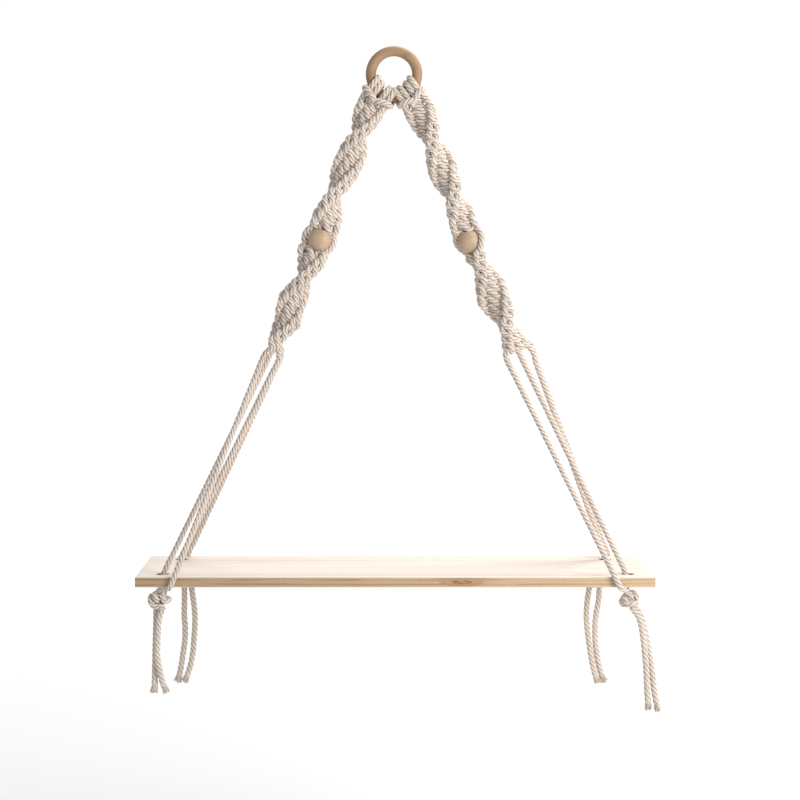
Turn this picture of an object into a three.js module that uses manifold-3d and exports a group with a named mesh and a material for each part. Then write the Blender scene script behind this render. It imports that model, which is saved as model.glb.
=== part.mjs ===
// Hanging rope shelf: a wooden board slung on knotted cotton cords from one wooden ring.
// Millimetres, +Z up. The origin is the inner top of the ring, where a hook or nail holds it.
// X runs along the board, and the front of the shelf faces -Y.

import * as THREE from "three";
import { mergeVertices } from "three/addons/utils/BufferGeometryUtils.js";
import Module from "manifold-3d";

const wasm = await Module();
wasm.setup();

// Ring
const ringOuterDiameter = 39.5;
const ringSectionDiameter = 7.2;

// Board and its four holes
const boardLength = 350;
const boardDepth = 100;
const boardThickness = 7;
const boardEdgeEase = 0.5;
const boardDrop = 355.8;
const holeDiameter = 9;
const holeFromLongEdge = 15;
const frontHoleFromEnd = 17;
const backHoleFromEnd = 23.5;

// Cord, thinner where a knot presses it
const cordDiameter = 3.8;
const pressedShare = 0.87;
const cordClearance = 0.3;
const ringClearance = 0.5;
const edgeClearance = 0.4;

// Beads
const beadDiameter = 17;
const beadClearance = 0.35;
const beadSideClearance = 0.5;

// Levels of the two bends, at the top of the arms and at their feet
const swingBelowRing = 9;
const tiltDrop = 212;
const swingRadius = 4.5;
const tiltRadius = 7.8;

// Half knots, as shares of the cord's diameter or of their own pitch
const pitchShare = 1.447;
const sideShare = 1.8;
const liftShare = 1.15;
const fullnessShare = 0.12;
const leadShare = 0.15;
const fillerShare = 0.5;
const rowOuterShare = 1.55;
const rowInnerShare = 0.52;
const roundBeadShares = [-0.72, -0.36, 0, 0.36, 0.72];

// Lark's heads, measured round the ring: how far apart an arm's two stand, and how far the middle
// of the two is from the ring's lowest point
const headSpacing = 11.56;
const leftHeadsFromBottom = 10.57;
const rightHeadsFromBottom = 12.4;

// How far a lark's head's legs stand from its middle, as shares of the pressed cord
const nearLegShare = 0.56;
const farLegShare = 1.6;

// Places on a lark's head: along the ring as a share of a leg's place, then out and back as shares
// of the wrap
const headFootShares = [1.15, 1.33, -0.6];
const headShoulderShares = [1.04, 1.05, -0.55];
const headCornerShares = [0.82, 0.98, -1.14];
const headFoldShares = [0, 0.92, -1.36];

// How far from the middle an arm's foot is, and how far down the arm its bead sits
const leftFootSpread = 86.3;
const rightFootSpread = 85.7;
const leftBeadAlong = 111;
const rightBeadAlong = 113;

// The two arms, with the turns of their knotting in degrees
const arms = [
  {
    name: "left",
    side: -1,
    headsFromBottom: leftHeadsFromBottom,
    footSpread: leftFootSpread,
    beadAlong: leftBeadAlong,
    upperTurn: 22.5,
    lowerTurn: 20.5,
    topRow: -360,
    beadTopTurn: 0,
    beadFootTurn: 0,
    footRow: 290,
  },
  {
    name: "right",
    side: 1,
    headsFromBottom: rightHeadsFromBottom,
    footSpread: rightFootSpread,
    beadAlong: rightBeadAlong,
    upperTurn: 22.5,
    lowerTurn: 22,
    topRow: -360,
    beadTopTurn: 10,
    beadFootTurn: 56,
    footRow: 345,
  },
];

// How far from the board's end a strand crosses the long edge, above and below, and how far from it
// the knot hangs
const leftFrontEdgeTop = 26.5;
const leftFrontEdgeFoot = 21;
const leftFrontKnot = 16;
const rightFrontEdgeTop = 25.7;
const rightFrontEdgeFoot = 22;
const rightFrontKnot = 18;
const leftBackEdgeTop = 26.5;
const leftBackEdgeFoot = 27;
const leftBackKnot = 27;
const rightBackEdgeTop = 19;
const rightBackEdgeFoot = 23;
const rightBackKnot = 28;

// How far the back strands stand aside in their holes, towards the board's ends
const backLean = 1.8;

const corners = [
  {
    arm: "left",
    face: "front",
    depth: -1,
    lean: 0,
    edgeTop: leftFrontEdgeTop,
    edgeFoot: leftFrontEdgeFoot,
    knot: leftFrontKnot,
  },
  {
    arm: "right",
    face: "front",
    depth: -1,
    lean: 0,
    edgeTop: rightFrontEdgeTop,
    edgeFoot: rightFrontEdgeFoot,
    knot: rightFrontKnot,
  },
  {
    arm: "left",
    face: "back",
    depth: 1,
    lean: -backLean,
    edgeTop: leftBackEdgeTop,
    edgeFoot: leftBackEdgeFoot,
    knot: leftBackKnot,
  },
  {
    arm: "right",
    face: "back",
    depth: 1,
    lean: backLean,
    edgeTop: rightBackEdgeTop,
    edgeFoot: rightBackEdgeFoot,
    knot: rightBackKnot,
  },
];

// Stopper knots
const knotDrop = 8.5;
const knotFromLongEdge = 7;
const knotTurnDiameter = 17;
const knotTurnThickness = 5.2;
const knotDepthShare = 0.86;
const knotTilt = 33;
const knotCoreShares = [0.46, 0.44, 0.32];
const knotStrandShare = 0.58;
const knotEntryShare = 0.6;

// Bends of the strands at the board, as shares of half its thickness or of the knot's drop
const mouthShares = [0.5, 0.2, 0.6];
const holeFootShare = 0.3;
const holeRunShare = 0.42;
const edgeRunShare = 0.36;

// The loose tails hang from the knots, as points from the middle of each knot
const tails = {
  left_front_a: [
    [-2.6, 1.8, -8], [-2.6, 2.4, -16], [-2.8, 2.4, -24], [-3, 2, -32],
    [-3.1, 1.6, -40], [-3.2, 0.9, -48], [-3.3, 0.2, -56], [-3.3, -0.4, -63.5],
  ],
  left_front_b: [
    [2, -0.5, -3.5], [0.4, -1.8, -9], [-0.6, -1.8, -16], [-1, -1.9, -24], [-1.4, -2.2, -32],
    [-1.3, -2.5, -40], [0.2, -2.2, -48], [2.2, -1.8, -56], [5, -1.5, -63],
  ],
  right_front_a: [
    [-2.2, -0.2, -2.6], [0.2, -1.2, -7], [5.4, -1.6, -11.5], [9.6, -1.4, -17.5], [11.7, -1, -26],
    [12.9, -0.7, -36], [13.4, -0.7, -49], [13.8, -0.9, -62], [14.8, -1, -74.5],
  ],
  right_front_b: [
    [2.3, 0.3, -2.4], [5.4, 2.2, -6.2], [9.8, 2.8, -11], [12.4, 2.9, -18], [14, 2.9, -26],
    [15.9, 2.5, -36], [17.4, 1.8, -49], [18.9, 1, -62], [21.2, 0, -75.5],
  ],
  left_back_a: [
    [-2.3, 0, -9], [-2.3, 0, -17], [-2.4, 0.1, -26], [-1.8, 0.2, -35],
    [-2, 0.3, -44], [-3.3, 0.5, -54], [-4.9, 0.7, -64], [-7.2, 1, -74.5],
  ],
  left_back_b: [
    [2.8, 0, -9], [4.4, 0, -17], [5.3, -0.1, -26], [5.2, -0.2, -35],
    [4.6, -0.3, -44], [3.7, -0.5, -54], [1.6, -0.8, -64], [-1.9, -1, -74],
  ],
  right_back_a: [
    [-6.2, 0, -9], [-7.4, 0, -17], [-7.8, -0.1, -26], [-7.3, -0.3, -35],
    [-6.2, -0.6, -44], [-4.8, -1, -54], [-2.9, -1.4, -64], [0, -1.8, -74.5],
  ],
  right_back_b: [
    [1.4, 0, -9], [0.8, 0, -17], [-0.8, 0.1, -26], [-1.5, 0.3, -35],
    [-1.3, 0.6, -44], [-0.2, 1, -54], [1.8, 1.4, -64], [5, 1.8, -74.5],
  ],
};

// Counts of faces
const ringSides = 8;
const ringSteps = 36;
const boreSides = 16;
const beadSteps = 8;
const holeSides = 8;
const pressedSides = 5;
const fillerSides = 6;
const strandSides = 8;
const stepsPerKnot = 5;
const fillerSteps = 34;
const strandSteps = 12;
const bendSides = 48;
const gapStepsPerPoint = 6;
const roomPoints = 5;
const knotSides = 6;
const knotSteps = 14;

// How near two corners of a mesh lie to be one
const mergeTolerance = 1e-4;

// Sizes that follow from the driving ones
const ringRadius = (ringOuterDiameter - ringSectionDiameter) / 2;
const ringCentre = new THREE.Vector3(0, 0, -(ringOuterDiameter / 2 - ringSectionDiameter));
const pressedDiameter = cordDiameter * pressedShare;
const swingDrop = ringOuterDiameter - ringSectionDiameter + swingBelowRing;
const wrapRadius = (ringSectionDiameter + pressedDiameter) / 2 + ringClearance;
const knotPitch = cordDiameter * pitchShare;
const beadRadius = beadDiameter / 2;
const beadBoreRadius = (cordDiameter + pressedDiameter) / 2 + beadClearance;
const beadZone = beadRadius + beadSideClearance;
const boardTop = -boardDrop;
const boardFoot = boardTop - boardThickness;
const cutReach = boardLength * 2;

const cordColour = 0xd9cdbb;
const ringColour = 0xcf9f78;
const beadColour = 0xd8b48c;
const boardColour = 0xe8cda4;

const shelf = new THREE.Group();

// Turns a closed geometry into a solid that can be cut and joined.
function solidOf(geometry) {
  const bare = new THREE.BufferGeometry();
  const plain = geometry.index ? geometry.toNonIndexed() : geometry;
  bare.setAttribute("position", plain.getAttribute("position"));
  const merged = mergeVertices(bare, mergeTolerance);
  return new wasm.Manifold(
    new wasm.Mesh({
      numProp: 3,
      vertProperties: merged.getAttribute("position").array,
      triVerts: new Uint32Array(merged.index.array),
    }),
  );
}

// Gives a solid's surface back as a geometry.
function geometryOf(solid) {
  const mesh = solid.getMesh();
  const geometry = new THREE.BufferGeometry();
  geometry.setAttribute("position", new THREE.BufferAttribute(mesh.vertProperties, mesh.numProp));
  geometry.setIndex(new THREE.BufferAttribute(mesh.triVerts, 1));
  geometry.computeVertexNormals();
  return geometry;
}

// Adds one named piece to the shelf.
function addPiece(name, geometry, colour, roughness) {
  const material = new THREE.MeshStandardMaterial({ color: colour, roughness, metalness: 0 });
  const mesh = new THREE.Mesh(geometry, material);
  mesh.name = name;
  shelf.add(mesh);
}

function addCord(name, solid) {
  addPiece(name, geometryOf(solid), cordColour, 0.95);
}

// A smooth line whose steps follow its own points and not its length.
class StationLine extends THREE.CatmullRomCurve3 {
  getUtoTmapping(u) {
    return u;
  }
}

// A round cord along the points, with one ring of its section at each.
function cordAlong(points, diameter, sides) {
  const line = new StationLine(points, false, "centripetal");
  const steps = points.length - 1;
  const section = new THREE.Shape();
  for (let i = 0; i < sides; i++) {
    const angle = (2 * Math.PI * i) / sides;
    const x = (Math.cos(angle) * diameter) / 2;
    const y = (Math.sin(angle) * diameter) / 2;
    if (i === 0) section.moveTo(x, y);
    else section.lineTo(x, y);
  }
  section.closePath();
  const options = { extrudePath: line, steps, bevelEnabled: false, curveSegments: 1 };
  return solidOf(new THREE.ExtrudeGeometry(section, options));
}

function boxSolid(width, depth, height, centre) {
  const box = new THREE.BoxGeometry(width, depth, height);
  box.translate(centre.x, centre.y, centre.z);
  return solidOf(box);
}

// A round bar along X at one level, on which the cords above and below it bend.
function bendBar(radius, drop) {
  const bar = new THREE.CylinderGeometry(radius, radius, cutReach, bendSides);
  bar.rotateZ(Math.PI / 2);
  bar.translate(0, 0, -drop);
  return solidOf(bar);
}

// Everything over a level, apart from the bar at that level.
function aboveBend(radius, drop) {
  const centre = new THREE.Vector3(0, 0, cutReach / 2 - drop);
  const above = boxSolid(2 * cutReach, cutReach, cutReach, centre);
  return above.subtract(bendBar(radius, drop));
}

// The line of one arm, with its own axes across it and towards the front.
function armFrame(arm) {
  const angle = (arm.side * arm.headsFromBottom) / ringRadius;
  const top = ringCentre
    .clone()
    .add(new THREE.Vector3(Math.sin(angle) * ringRadius, 0, -Math.cos(angle) * ringRadius));
  const foot = new THREE.Vector3(arm.side * arm.footSpread, 0, -tiltDrop);
  const along = foot.clone().sub(top);
  const length = along.length();
  along.normalize();
  const across = new THREE.Vector3(-along.z, 0, along.x);
  const front = new THREE.Vector3(0, -1, 0);
  const swingAt = (top.z + swingDrop) / -along.z;
  const beadTop = arm.beadAlong - beadZone;
  const beadFoot = arm.beadAlong + beadZone;
  const upperKnots = Math.floor((beadTop - swingAt) / knotPitch);
  const lowerKnots = Math.floor((length - tiltRadius - beadFoot) / knotPitch);
  const knotsFrom = beadTop - upperKnots * knotPitch;
  const knotsTo = beadFoot + lowerKnots * knotPitch;
  const turns = [
    [swingAt, arm.topRow],
    [knotsFrom, arm.beadTopTurn - upperKnots * arm.upperTurn],
    [beadTop, arm.beadTopTurn],
    [beadFoot, arm.beadFootTurn],
    [knotsTo, arm.beadFootTurn + lowerKnots * arm.lowerTurn],
    [length, arm.footRow],
  ];
  const axes = { top, along, across, front };
  return { arm, ...axes, length, swingAt, beadFoot, knotsFrom, upperKnots, lowerKnots, turns };
}

// How far the knotting has turned round the arm at one place along it, in radians.
function turnAt(frame, s) {
  const { turns } = frame;
  let degrees = s <= turns[0][0] ? turns[0][1] : turns[turns.length - 1][1];
  for (let i = 1; i < turns.length; i++) {
    const [from, turnFrom] = turns[i - 1];
    const [to, turnTo] = turns[i];
    if (s > from && s <= to) degrees = turnFrom + ((turnTo - turnFrom) * (s - from)) / (to - from);
  }
  return THREE.MathUtils.degToRad(degrees);
}

// A place beside the arm: u across its flat knotting, v off the flat side, s along it.
function armPoint(frame, u, v, s) {
  const turn = turnAt(frame, s);
  const across = u * Math.cos(turn) - v * Math.sin(turn);
  const front = u * Math.sin(turn) + v * Math.cos(turn);
  return frame.top
    .clone()
    .addScaledVector(frame.along, s)
    .addScaledVector(frame.across, across)
    .addScaledVector(frame.front, front);
}

// One knotting cord passes in front of the fillers and then behind them, once in two half knots.
function halfKnots(frame, from, count, phase) {
  const points = [];
  for (let i = 0; i <= count * stepsPerKnot; i++) {
    const t = (Math.PI * i) / stepsPerKnot;
    const swing = t + phase * Math.PI;
    const u = cordDiameter * sideShare * Math.cos(swing);
    const v = cordDiameter * (liftShare * Math.sin(swing) + fullnessShare * Math.sin(3 * swing));
    const s = from + knotPitch * (t / Math.PI + leadShare * Math.sin(2 * t));
    points.push(armPoint(frame, u, v, s));
  }
  return points;
}

// Beside the bead the knotting cord goes round it on one side.
function roundBead(frame, side) {
  const reach = beadRadius + pressedDiameter / 2 + beadSideClearance;
  return roundBeadShares.map((share) => {
    const ahead = share * beadZone;
    const u = Math.max(cordDiameter * sideShare, Math.sqrt(reach * reach - ahead * ahead));
    return armPoint(frame, side * u, 0, frame.arm.beadAlong + ahead);
  });
}

// The least gap that a cord keeps to its own other turns, measured on points along it.
function leastGap(points, diameter) {
  const line = new StationLine(points, false, "centripetal");
  const fine = line.getPoints(points.length * gapStepsPerPoint);
  const reach = [0];
  for (let i = 1; i < fine.length; i++) reach.push(reach[i - 1] + fine[i].distanceTo(fine[i - 1]));
  let least = Infinity;
  for (let i = 0; i < fine.length; i++) {
    for (let j = i + 1; j < fine.length; j++) {
      if (reach[j] - reach[i] > 3 * diameter) least = Math.min(least, fine[i].distanceTo(fine[j]));
    }
  }
  return least - diameter;
}

function knottingRoute(frame, phase) {
  const { arm, upperKnots, lowerKnots } = frame;
  const startSide = phase === 0 ? 1 : -1;
  const beadSide = upperKnots % 2 === 0 ? startSide : -startSide;
  const endSide = lowerKnots % 2 === 0 ? beadSide : -beadSide;
  const lowerPhase = beadSide === 1 ? 0 : 1;
  return [
    armPoint(frame, startSide * cordDiameter * sideShare, 0, frame.swingAt - swingRadius),
    ...halfKnots(frame, frame.knotsFrom, upperKnots, phase),
    ...roundBead(frame, beadSide),
    ...halfKnots(frame, frame.beadFoot, lowerKnots, lowerPhase),
    armPoint(frame, endSide * cordDiameter * rowOuterShare, 0, frame.length),
  ];
}

function fillerCord(frame, side) {
  const points = [];
  const from = frame.swingAt - swingRadius;
  for (let i = 0; i <= fillerSteps; i++) {
    const s = from + ((frame.length - from) * i) / fillerSteps;
    points.push(armPoint(frame, side * cordDiameter * fillerShare, 0, s));
  }
  return cordAlong(points, pressedDiameter, fillerSides);
}

// A lark's head: the fold of a cord lies in front, over the two strands that it sends down the arm.
function larksHead(frame, fromBottom, rows) {
  const angle = fromBottom / ringRadius;
  const out = new THREE.Vector3(Math.sin(angle), 0, -Math.cos(angle));
  const round = new THREE.Vector3(Math.cos(angle), 0, Math.sin(angle));
  const back = new THREE.Vector3(0, 1, 0);
  const centre = ringCentre.clone().addScaledVector(out, ringRadius);
  const place = (w, q, y) =>
    centre.clone().addScaledVector(round, w).addScaledVector(out, q).addScaledVector(back, y);
  const shared = (leg, [w, q, y]) => place(leg * w, wrapRadius * q, wrapRadius * y);
  const near = pressedDiameter * nearLegShare;
  const far = pressedDiameter * farLegShare;
  const strand = (side, row) => {
    const end = armPoint(frame, row * cordDiameter, 0, frame.swingAt);
    const below = shared(side * near, headFootShares);
    const points = [end, below.clone().lerp(end, 0.5), below];
    for (let degrees = -30; degrees >= -360; degrees -= 30) {
      const wrap = THREE.MathUtils.degToRad(degrees);
      const passed = THREE.MathUtils.smoothstep(-degrees, 170, 350);
      const w = near + (far - near) * passed;
      points.push(place(side * w, wrapRadius * Math.cos(wrap), wrapRadius * Math.sin(wrap)));
    }
    points.push(shared(side * far, headShoulderShares));
    points.push(shared(side * far, headCornerShares));
    return points;
  };
  const first = strand(-1, rows[0]);
  const second = strand(1, rows[1]);
  const points = [...first, shared(0, headFoldShares), ...second.reverse()];
  return cordAlong(points, pressedDiameter, fillerSides);
}

function beadSolid(frame) {
  const profile = [];
  const mouth = Math.asin(beadBoreRadius / beadRadius);
  for (let i = 0; i <= beadSteps; i++) {
    const angle = mouth + ((Math.PI - 2 * mouth) * i) / beadSteps;
    profile.push(new THREE.Vector2(beadRadius * Math.sin(angle), -beadRadius * Math.cos(angle)));
  }
  profile.push(profile[0].clone());
  const bead = new THREE.LatheGeometry(profile, boreSides);
  const turn = new THREE.Quaternion().setFromUnitVectors(new THREE.Vector3(0, 1, 0), frame.along);
  bead.applyQuaternion(turn);
  const place = frame.top.clone().addScaledVector(frame.along, frame.arm.beadAlong);
  bead.translate(place.x, place.y, place.z);
  return bead;
}

// A place across the board, given by its distance from the board's nearer end.
function fromEnd(corner, distance) {
  const side = corner.arm === "left" ? -1 : 1;
  return side * (boardLength / 2 - distance);
}

// A place from front to back, given by its distance from the board's nearer long edge.
function fromLongEdge(corner, distance) {
  return corner.depth * (boardDepth / 2 - distance);
}

function holePlace(corner) {
  const distance = corner.face === "front" ? frontHoleFromEnd : backHoleFromEnd;
  return { x: fromEnd(corner, distance), y: fromLongEdge(corner, holeFromLongEdge) };
}

function boardGeometry() {
  const half = { x: boardLength / 2, y: boardDepth / 2 };
  const outline = new THREE.Shape();
  outline.moveTo(-half.x, -half.y);
  outline.lineTo(half.x, -half.y);
  outline.lineTo(half.x, half.y);
  outline.lineTo(-half.x, half.y);
  outline.closePath();
  for (const corner of corners) {
    const { x, y } = holePlace(corner);
    const hole = new THREE.Path();
    hole.absarc(x, y, holeDiameter / 2, 0, Math.PI * 2, true);
    outline.holes.push(hole);
  }
  const board = new THREE.ExtrudeGeometry(outline, {
    depth: boardThickness - 2 * boardEdgeEase,
    bevelEnabled: true,
    bevelThickness: boardEdgeEase,
    bevelSize: boardEdgeEase,
    bevelOffset: -boardEdgeEase,
    bevelSegments: 1,
    curveSegments: holeSides,
  });
  board.translate(0, 0, boardFoot + boardEdgeEase);
  return board;
}

function knotPlace(corner) {
  const x = fromEnd(corner, corner.knot);
  return new THREE.Vector3(x, fromLongEdge(corner, knotFromLongEdge), boardFoot - knotDrop);
}

// Even steps on the straight way from the last of the points to the next place.
function straightTo(points, place) {
  const from = points[points.length - 1];
  for (let i = 1; i <= strandSteps; i++) points.push(from.clone().lerp(place, i / strandSteps));
  return points;
}

// Where a strand leaves the foot of its arm.
function strandHead(frame, rowShare) {
  const row = rowShare * cordDiameter;
  return [
    armPoint(frame, row, 0, frame.length - tiltRadius),
    armPoint(frame, row, 0, frame.length),
    armPoint(frame, row, 0, frame.length + cordDiameter),
  ];
}

// This strand comes down through the corner's hole and runs out to the knot.
function holeStrandRoute(frame, corner) {
  const hole = holePlace(corner);
  const x = hole.x + corner.lean;
  const knot = knotPlace(corner);
  const inner = knot.y - corner.depth * cordDiameter * knotStrandShare;
  const half = boardThickness / 2;
  const mouth = new THREE.Vector3(
    x - frame.arm.side * half * mouthShares[0],
    hole.y - corner.depth * half * mouthShares[1],
    boardTop + half * mouthShares[2],
  );
  return [
    ...straightTo(strandHead(frame, corner.depth * rowInnerShare), mouth),
    new THREE.Vector3(x, hole.y, boardTop - half),
    new THREE.Vector3(x, hole.y + corner.depth * half * holeFootShare, boardFoot),
    new THREE.Vector3((x + knot.x) / 2, (hole.y + inner) / 2, boardFoot - knotDrop * holeRunShare),
    new THREE.Vector3(knot.x, inner, knot.z + cordDiameter * knotEntryShare),
    new THREE.Vector3(knot.x, inner, knot.z + cordClearance / 2),
  ];
}

// This strand goes round the long edge of the board and into the same knot.
function edgeStrandRoute(frame, corner) {
  const outside = fromLongEdge(corner, -(cordDiameter / 2 + edgeClearance));
  const top = fromEnd(corner, corner.edgeTop);
  const foot = fromEnd(corner, corner.edgeFoot);
  const knot = knotPlace(corner);
  const outer = knot.y + corner.depth * cordDiameter * knotStrandShare;
  const edge = new THREE.Vector3(top, outside, boardTop);
  return [
    ...straightTo(strandHead(frame, corner.depth * rowOuterShare), edge),
    new THREE.Vector3(foot, outside, boardFoot),
    new THREE.Vector3((foot + knot.x) / 2, outside, boardFoot - knotDrop * edgeRunShare),
    new THREE.Vector3(knot.x, outer, knot.z + cordDiameter * knotEntryShare),
    new THREE.Vector3(knot.x, outer, knot.z + cordClearance / 2),
  ];
}

function tailRoute(corner, end) {
  const knot = knotPlace(corner);
  const side = end === "a" ? -1 : 1;
  const from = new THREE.Vector3(side * cordDiameter * knotStrandShare, 0, -cordClearance / 2);
  const drop = tails[corner.arm + "_" + corner.face + "_" + end];
  const points = [from, ...drop.map(([x, y, z]) => new THREE.Vector3(x, y, z))];
  return points.map((point) => point.add(knot));
}

// Room for the end of a cord inside a knot, run on a little past that end.
function roomFor(route, atStart) {
  const ordered = atStart ? [...route].reverse() : route;
  const points = ordered.slice(-roomPoints).map((point) => point.clone());
  const last = points[points.length - 1];
  const before = points[points.length - 2];
  last.addScaledVector(last.clone().sub(before).normalize(), cordDiameter / 4);
  return cordAlong(points, cordDiameter + 2 * cordClearance, strandSides);
}

// Two crossed turns of doubled cord over a full middle, as an overhand knot shows.
function stopperKnot(corner, routes) {
  const knot = knotPlace(corner);
  const core = new THREE.SphereGeometry(1, knotSides + 2, knotSides);
  core.rotateX(Math.PI / 2);
  core.scale(...knotCoreShares.map((share) => share * knotTurnDiameter));
  let solid = solidOf(core);
  const radius = (knotTurnDiameter - knotTurnThickness) / 2;
  for (const way of [-1, 1]) {
    const turn = new THREE.TorusGeometry(radius, knotTurnThickness / 2, knotSides, knotSteps);
    turn.scale(1, knotDepthShare, 1);
    turn.rotateY(THREE.MathUtils.degToRad(way * knotTilt));
    solid = solid.add(solidOf(turn));
  }
  solid = solid.translate([knot.x, knot.y, knot.z]);
  for (const { route, atStart } of routes) solid = solid.subtract(roomFor(route, atStart));
  return solid;
}

function addRing() {
  const ring = new THREE.TorusGeometry(ringRadius, ringSectionDiameter / 2, ringSides, ringSteps);
  ring.rotateX(Math.PI / 2);
  ring.translate(ringCentre.x, ringCentre.y, ringCentre.z);
  addPiece("hanging_ring", ring, ringColour, 0.5);
}

function addArm(frame, cuts) {
  const { name, side, headsFromBottom } = frame.arm;
  const heads = [
    { place: "left", from: side * headsFromBottom - headSpacing / 2, rows: [-sideShare, -fillerShare] },
    { place: "right", from: side * headsFromBottom + headSpacing / 2, rows: [fillerShare, sideShare] },
  ];
  for (const { place, from, rows } of heads) {
    const role = place === name ? "outer" : "inner";
    addCord(name + "_" + role + "_larks_head", larksHead(frame, from, rows).subtract(cuts.swingRoom));
  }
  const trimmed = (solid) => solid.subtract(cuts.swingAbove).subtract(cuts.tiltRoom);
  addCord(name + "_filler_a", trimmed(fillerCord(frame, -1)));
  addCord(name + "_filler_b", trimmed(fillerCord(frame, 1)));
  for (const [end, phase] of [["a", 0], ["b", 1]]) {
    const route = knottingRoute(frame, phase);
    const label = name + "_knotting_cord_" + end;
    addCord(label, trimmed(cordAlong(route, pressedDiameter, pressedSides)));
    console.log(label + ": least gap to itself " + leastGap(route, pressedDiameter).toFixed(2) + " mm");
  }
  addPiece(name + "_bead", beadSolid(frame), beadColour, 0.45);
}

function addCorner(frame, corner, cuts) {
  const label = corner.arm + "_" + corner.face;
  const routes = {
    hole_strand: { route: holeStrandRoute(frame, corner), atStart: false },
    edge_strand: { route: edgeStrandRoute(frame, corner), atStart: false },
    tail_a: { route: tailRoute(corner, "a"), atStart: true },
    tail_b: { route: tailRoute(corner, "b"), atStart: true },
  };
  for (const [part, { route, atStart }] of Object.entries(routes)) {
    const cord = cordAlong(route, cordDiameter, strandSides);
    addCord(label + "_" + part, atStart ? cord : cord.subtract(cuts.tiltAbove));
  }
  addCord(label + "_stopper_knot", stopperKnot(corner, Object.values(routes)));
}

const cuts = {
  swingAbove: aboveBend(swingRadius, swingDrop),
  swingRoom: bendBar(swingRadius + cordClearance, swingDrop),
  tiltAbove: aboveBend(tiltRadius, tiltDrop),
  tiltRoom: bendBar(tiltRadius + cordClearance, tiltDrop),
};
const frames = new Map(arms.map((arm) => [arm.name, armFrame(arm)]));

addRing();
for (const frame of frames.values()) addArm(frame, cuts);
addPiece("shelf_board", boardGeometry(), boardColour, 0.55);
for (const corner of corners) addCorner(frames.get(corner.arm), corner, cuts);

export default shelf;
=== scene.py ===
"""Hanging rope shelf: the cords, knots, beads, ring and board as the eye sees them.

Every place is in metres in the part's own frame: +Z up, +X along the board, the front facing -Y, and
the origin at the inner top of the hanging ring.
"""

import logging
import math
from dataclasses import dataclass, field
from enum import Enum

import bmesh
import bpy
import numpy as np
from mathutils import Matrix, Vector

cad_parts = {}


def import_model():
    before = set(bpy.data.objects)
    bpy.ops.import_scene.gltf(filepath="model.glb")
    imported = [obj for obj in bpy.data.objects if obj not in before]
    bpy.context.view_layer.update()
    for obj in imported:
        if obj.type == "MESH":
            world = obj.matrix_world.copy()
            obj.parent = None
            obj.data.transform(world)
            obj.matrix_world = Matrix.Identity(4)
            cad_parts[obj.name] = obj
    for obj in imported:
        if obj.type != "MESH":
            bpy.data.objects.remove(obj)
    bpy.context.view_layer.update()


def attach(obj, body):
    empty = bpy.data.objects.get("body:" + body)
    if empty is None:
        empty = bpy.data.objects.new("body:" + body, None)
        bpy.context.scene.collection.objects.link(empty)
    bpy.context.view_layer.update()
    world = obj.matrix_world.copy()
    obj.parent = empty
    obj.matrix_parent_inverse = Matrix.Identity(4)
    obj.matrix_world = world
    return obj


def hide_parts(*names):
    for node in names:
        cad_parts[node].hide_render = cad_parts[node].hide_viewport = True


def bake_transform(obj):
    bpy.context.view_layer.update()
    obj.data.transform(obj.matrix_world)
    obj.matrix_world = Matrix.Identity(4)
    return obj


LOG = logging.getLogger("rope_shelf")
MM = 0.001
NOTHING = 1e-9
TINY = 1e-12
SHARP_FROM = 35.0  # degrees between two faces
SEED = 7


class Hand(Enum):
    """The two arms, by the side of the ring that they leave."""

    LEFT = -1
    RIGHT = 1


class Face(Enum):
    """The board's two long edges."""

    FRONT = -1
    BACK = 1


class Lay(Enum):
    """Which way a rope's plies wind along it."""

    S = -1
    Z = 1


@dataclass(frozen=True)
class RopeSizes:
    """The cotton rope: it is thinner where it is pulled or pressed.

    The lay is the length in which one ply goes once round. The valley is how far the gaps between the
    plies reach in, as a share of the radius. The fibres are streaks in the surface.
    """

    relaxed: float = 4.4 * MM
    taut: float = 4.1 * MM
    pressed: float = 4.5 * MM
    packed: float = 4.9 * MM
    looped: float = 4.5 * MM
    tied: float = 4.3 * MM
    lay: float = 14.4 * MM
    plies: int = 4
    direction: Lay = Lay.S
    valley: float = 0.25
    section_points: int = 32
    step: float = 0.66 * MM
    eased_points: int = 9
    fibre_lift: float = 0.10 * MM
    fibre_scale: float = 1400.0
    fibre_stretch: float = 0.16
    fibre_across: float = 5.0


@dataclass(frozen=True)
class RingSizes:
    """The wooden ring that everything hangs from."""

    outside: float = 39.5 * MM
    section: float = 7.2 * MM

    @property
    def radius(self) -> float:
        """Radius of the ring's centre line."""
        return (self.outside - self.section) / 2

    @property
    def centre(self) -> np.ndarray:
        """Centre of the ring."""
        return np.array([0.0, 0.0, self.section - self.outside / 2])


@dataclass(frozen=True)
class BoardSizes:
    """The board and its holes."""

    length: float = 350 * MM
    depth: float = 100 * MM
    thickness: float = 7 * MM
    drop: float = 355.8 * MM
    hole: float = 9 * MM
    hole_from_edge: float = 15 * MM
    front_hole_from_end: float = 17 * MM
    back_hole_from_end: float = 23.5 * MM
    ease: float = 0.55 * MM

    @property
    def top(self) -> float:
        """Height of the board's top face."""
        return -self.drop

    @property
    def foot(self) -> float:
        """Height of the board's lower face."""
        return -self.drop - self.thickness


@dataclass(frozen=True)
class BeadSizes:
    """A turned wooden bead, and the room that the knotting cords leave beside it and at its mouths.

    The cord places are where a knotting cord is held off the bead, as shares of half its room.
    """

    diameter: float = 17 * MM
    bore: float = 7.8 * MM
    side_room: float = 0.5 * MM
    cord_room: float = 2.0 * MM
    cord_places: tuple = (-0.72, -0.36, 0.0, 0.36, 0.72)
    mouth_ease: float = 0.6 * MM


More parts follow.
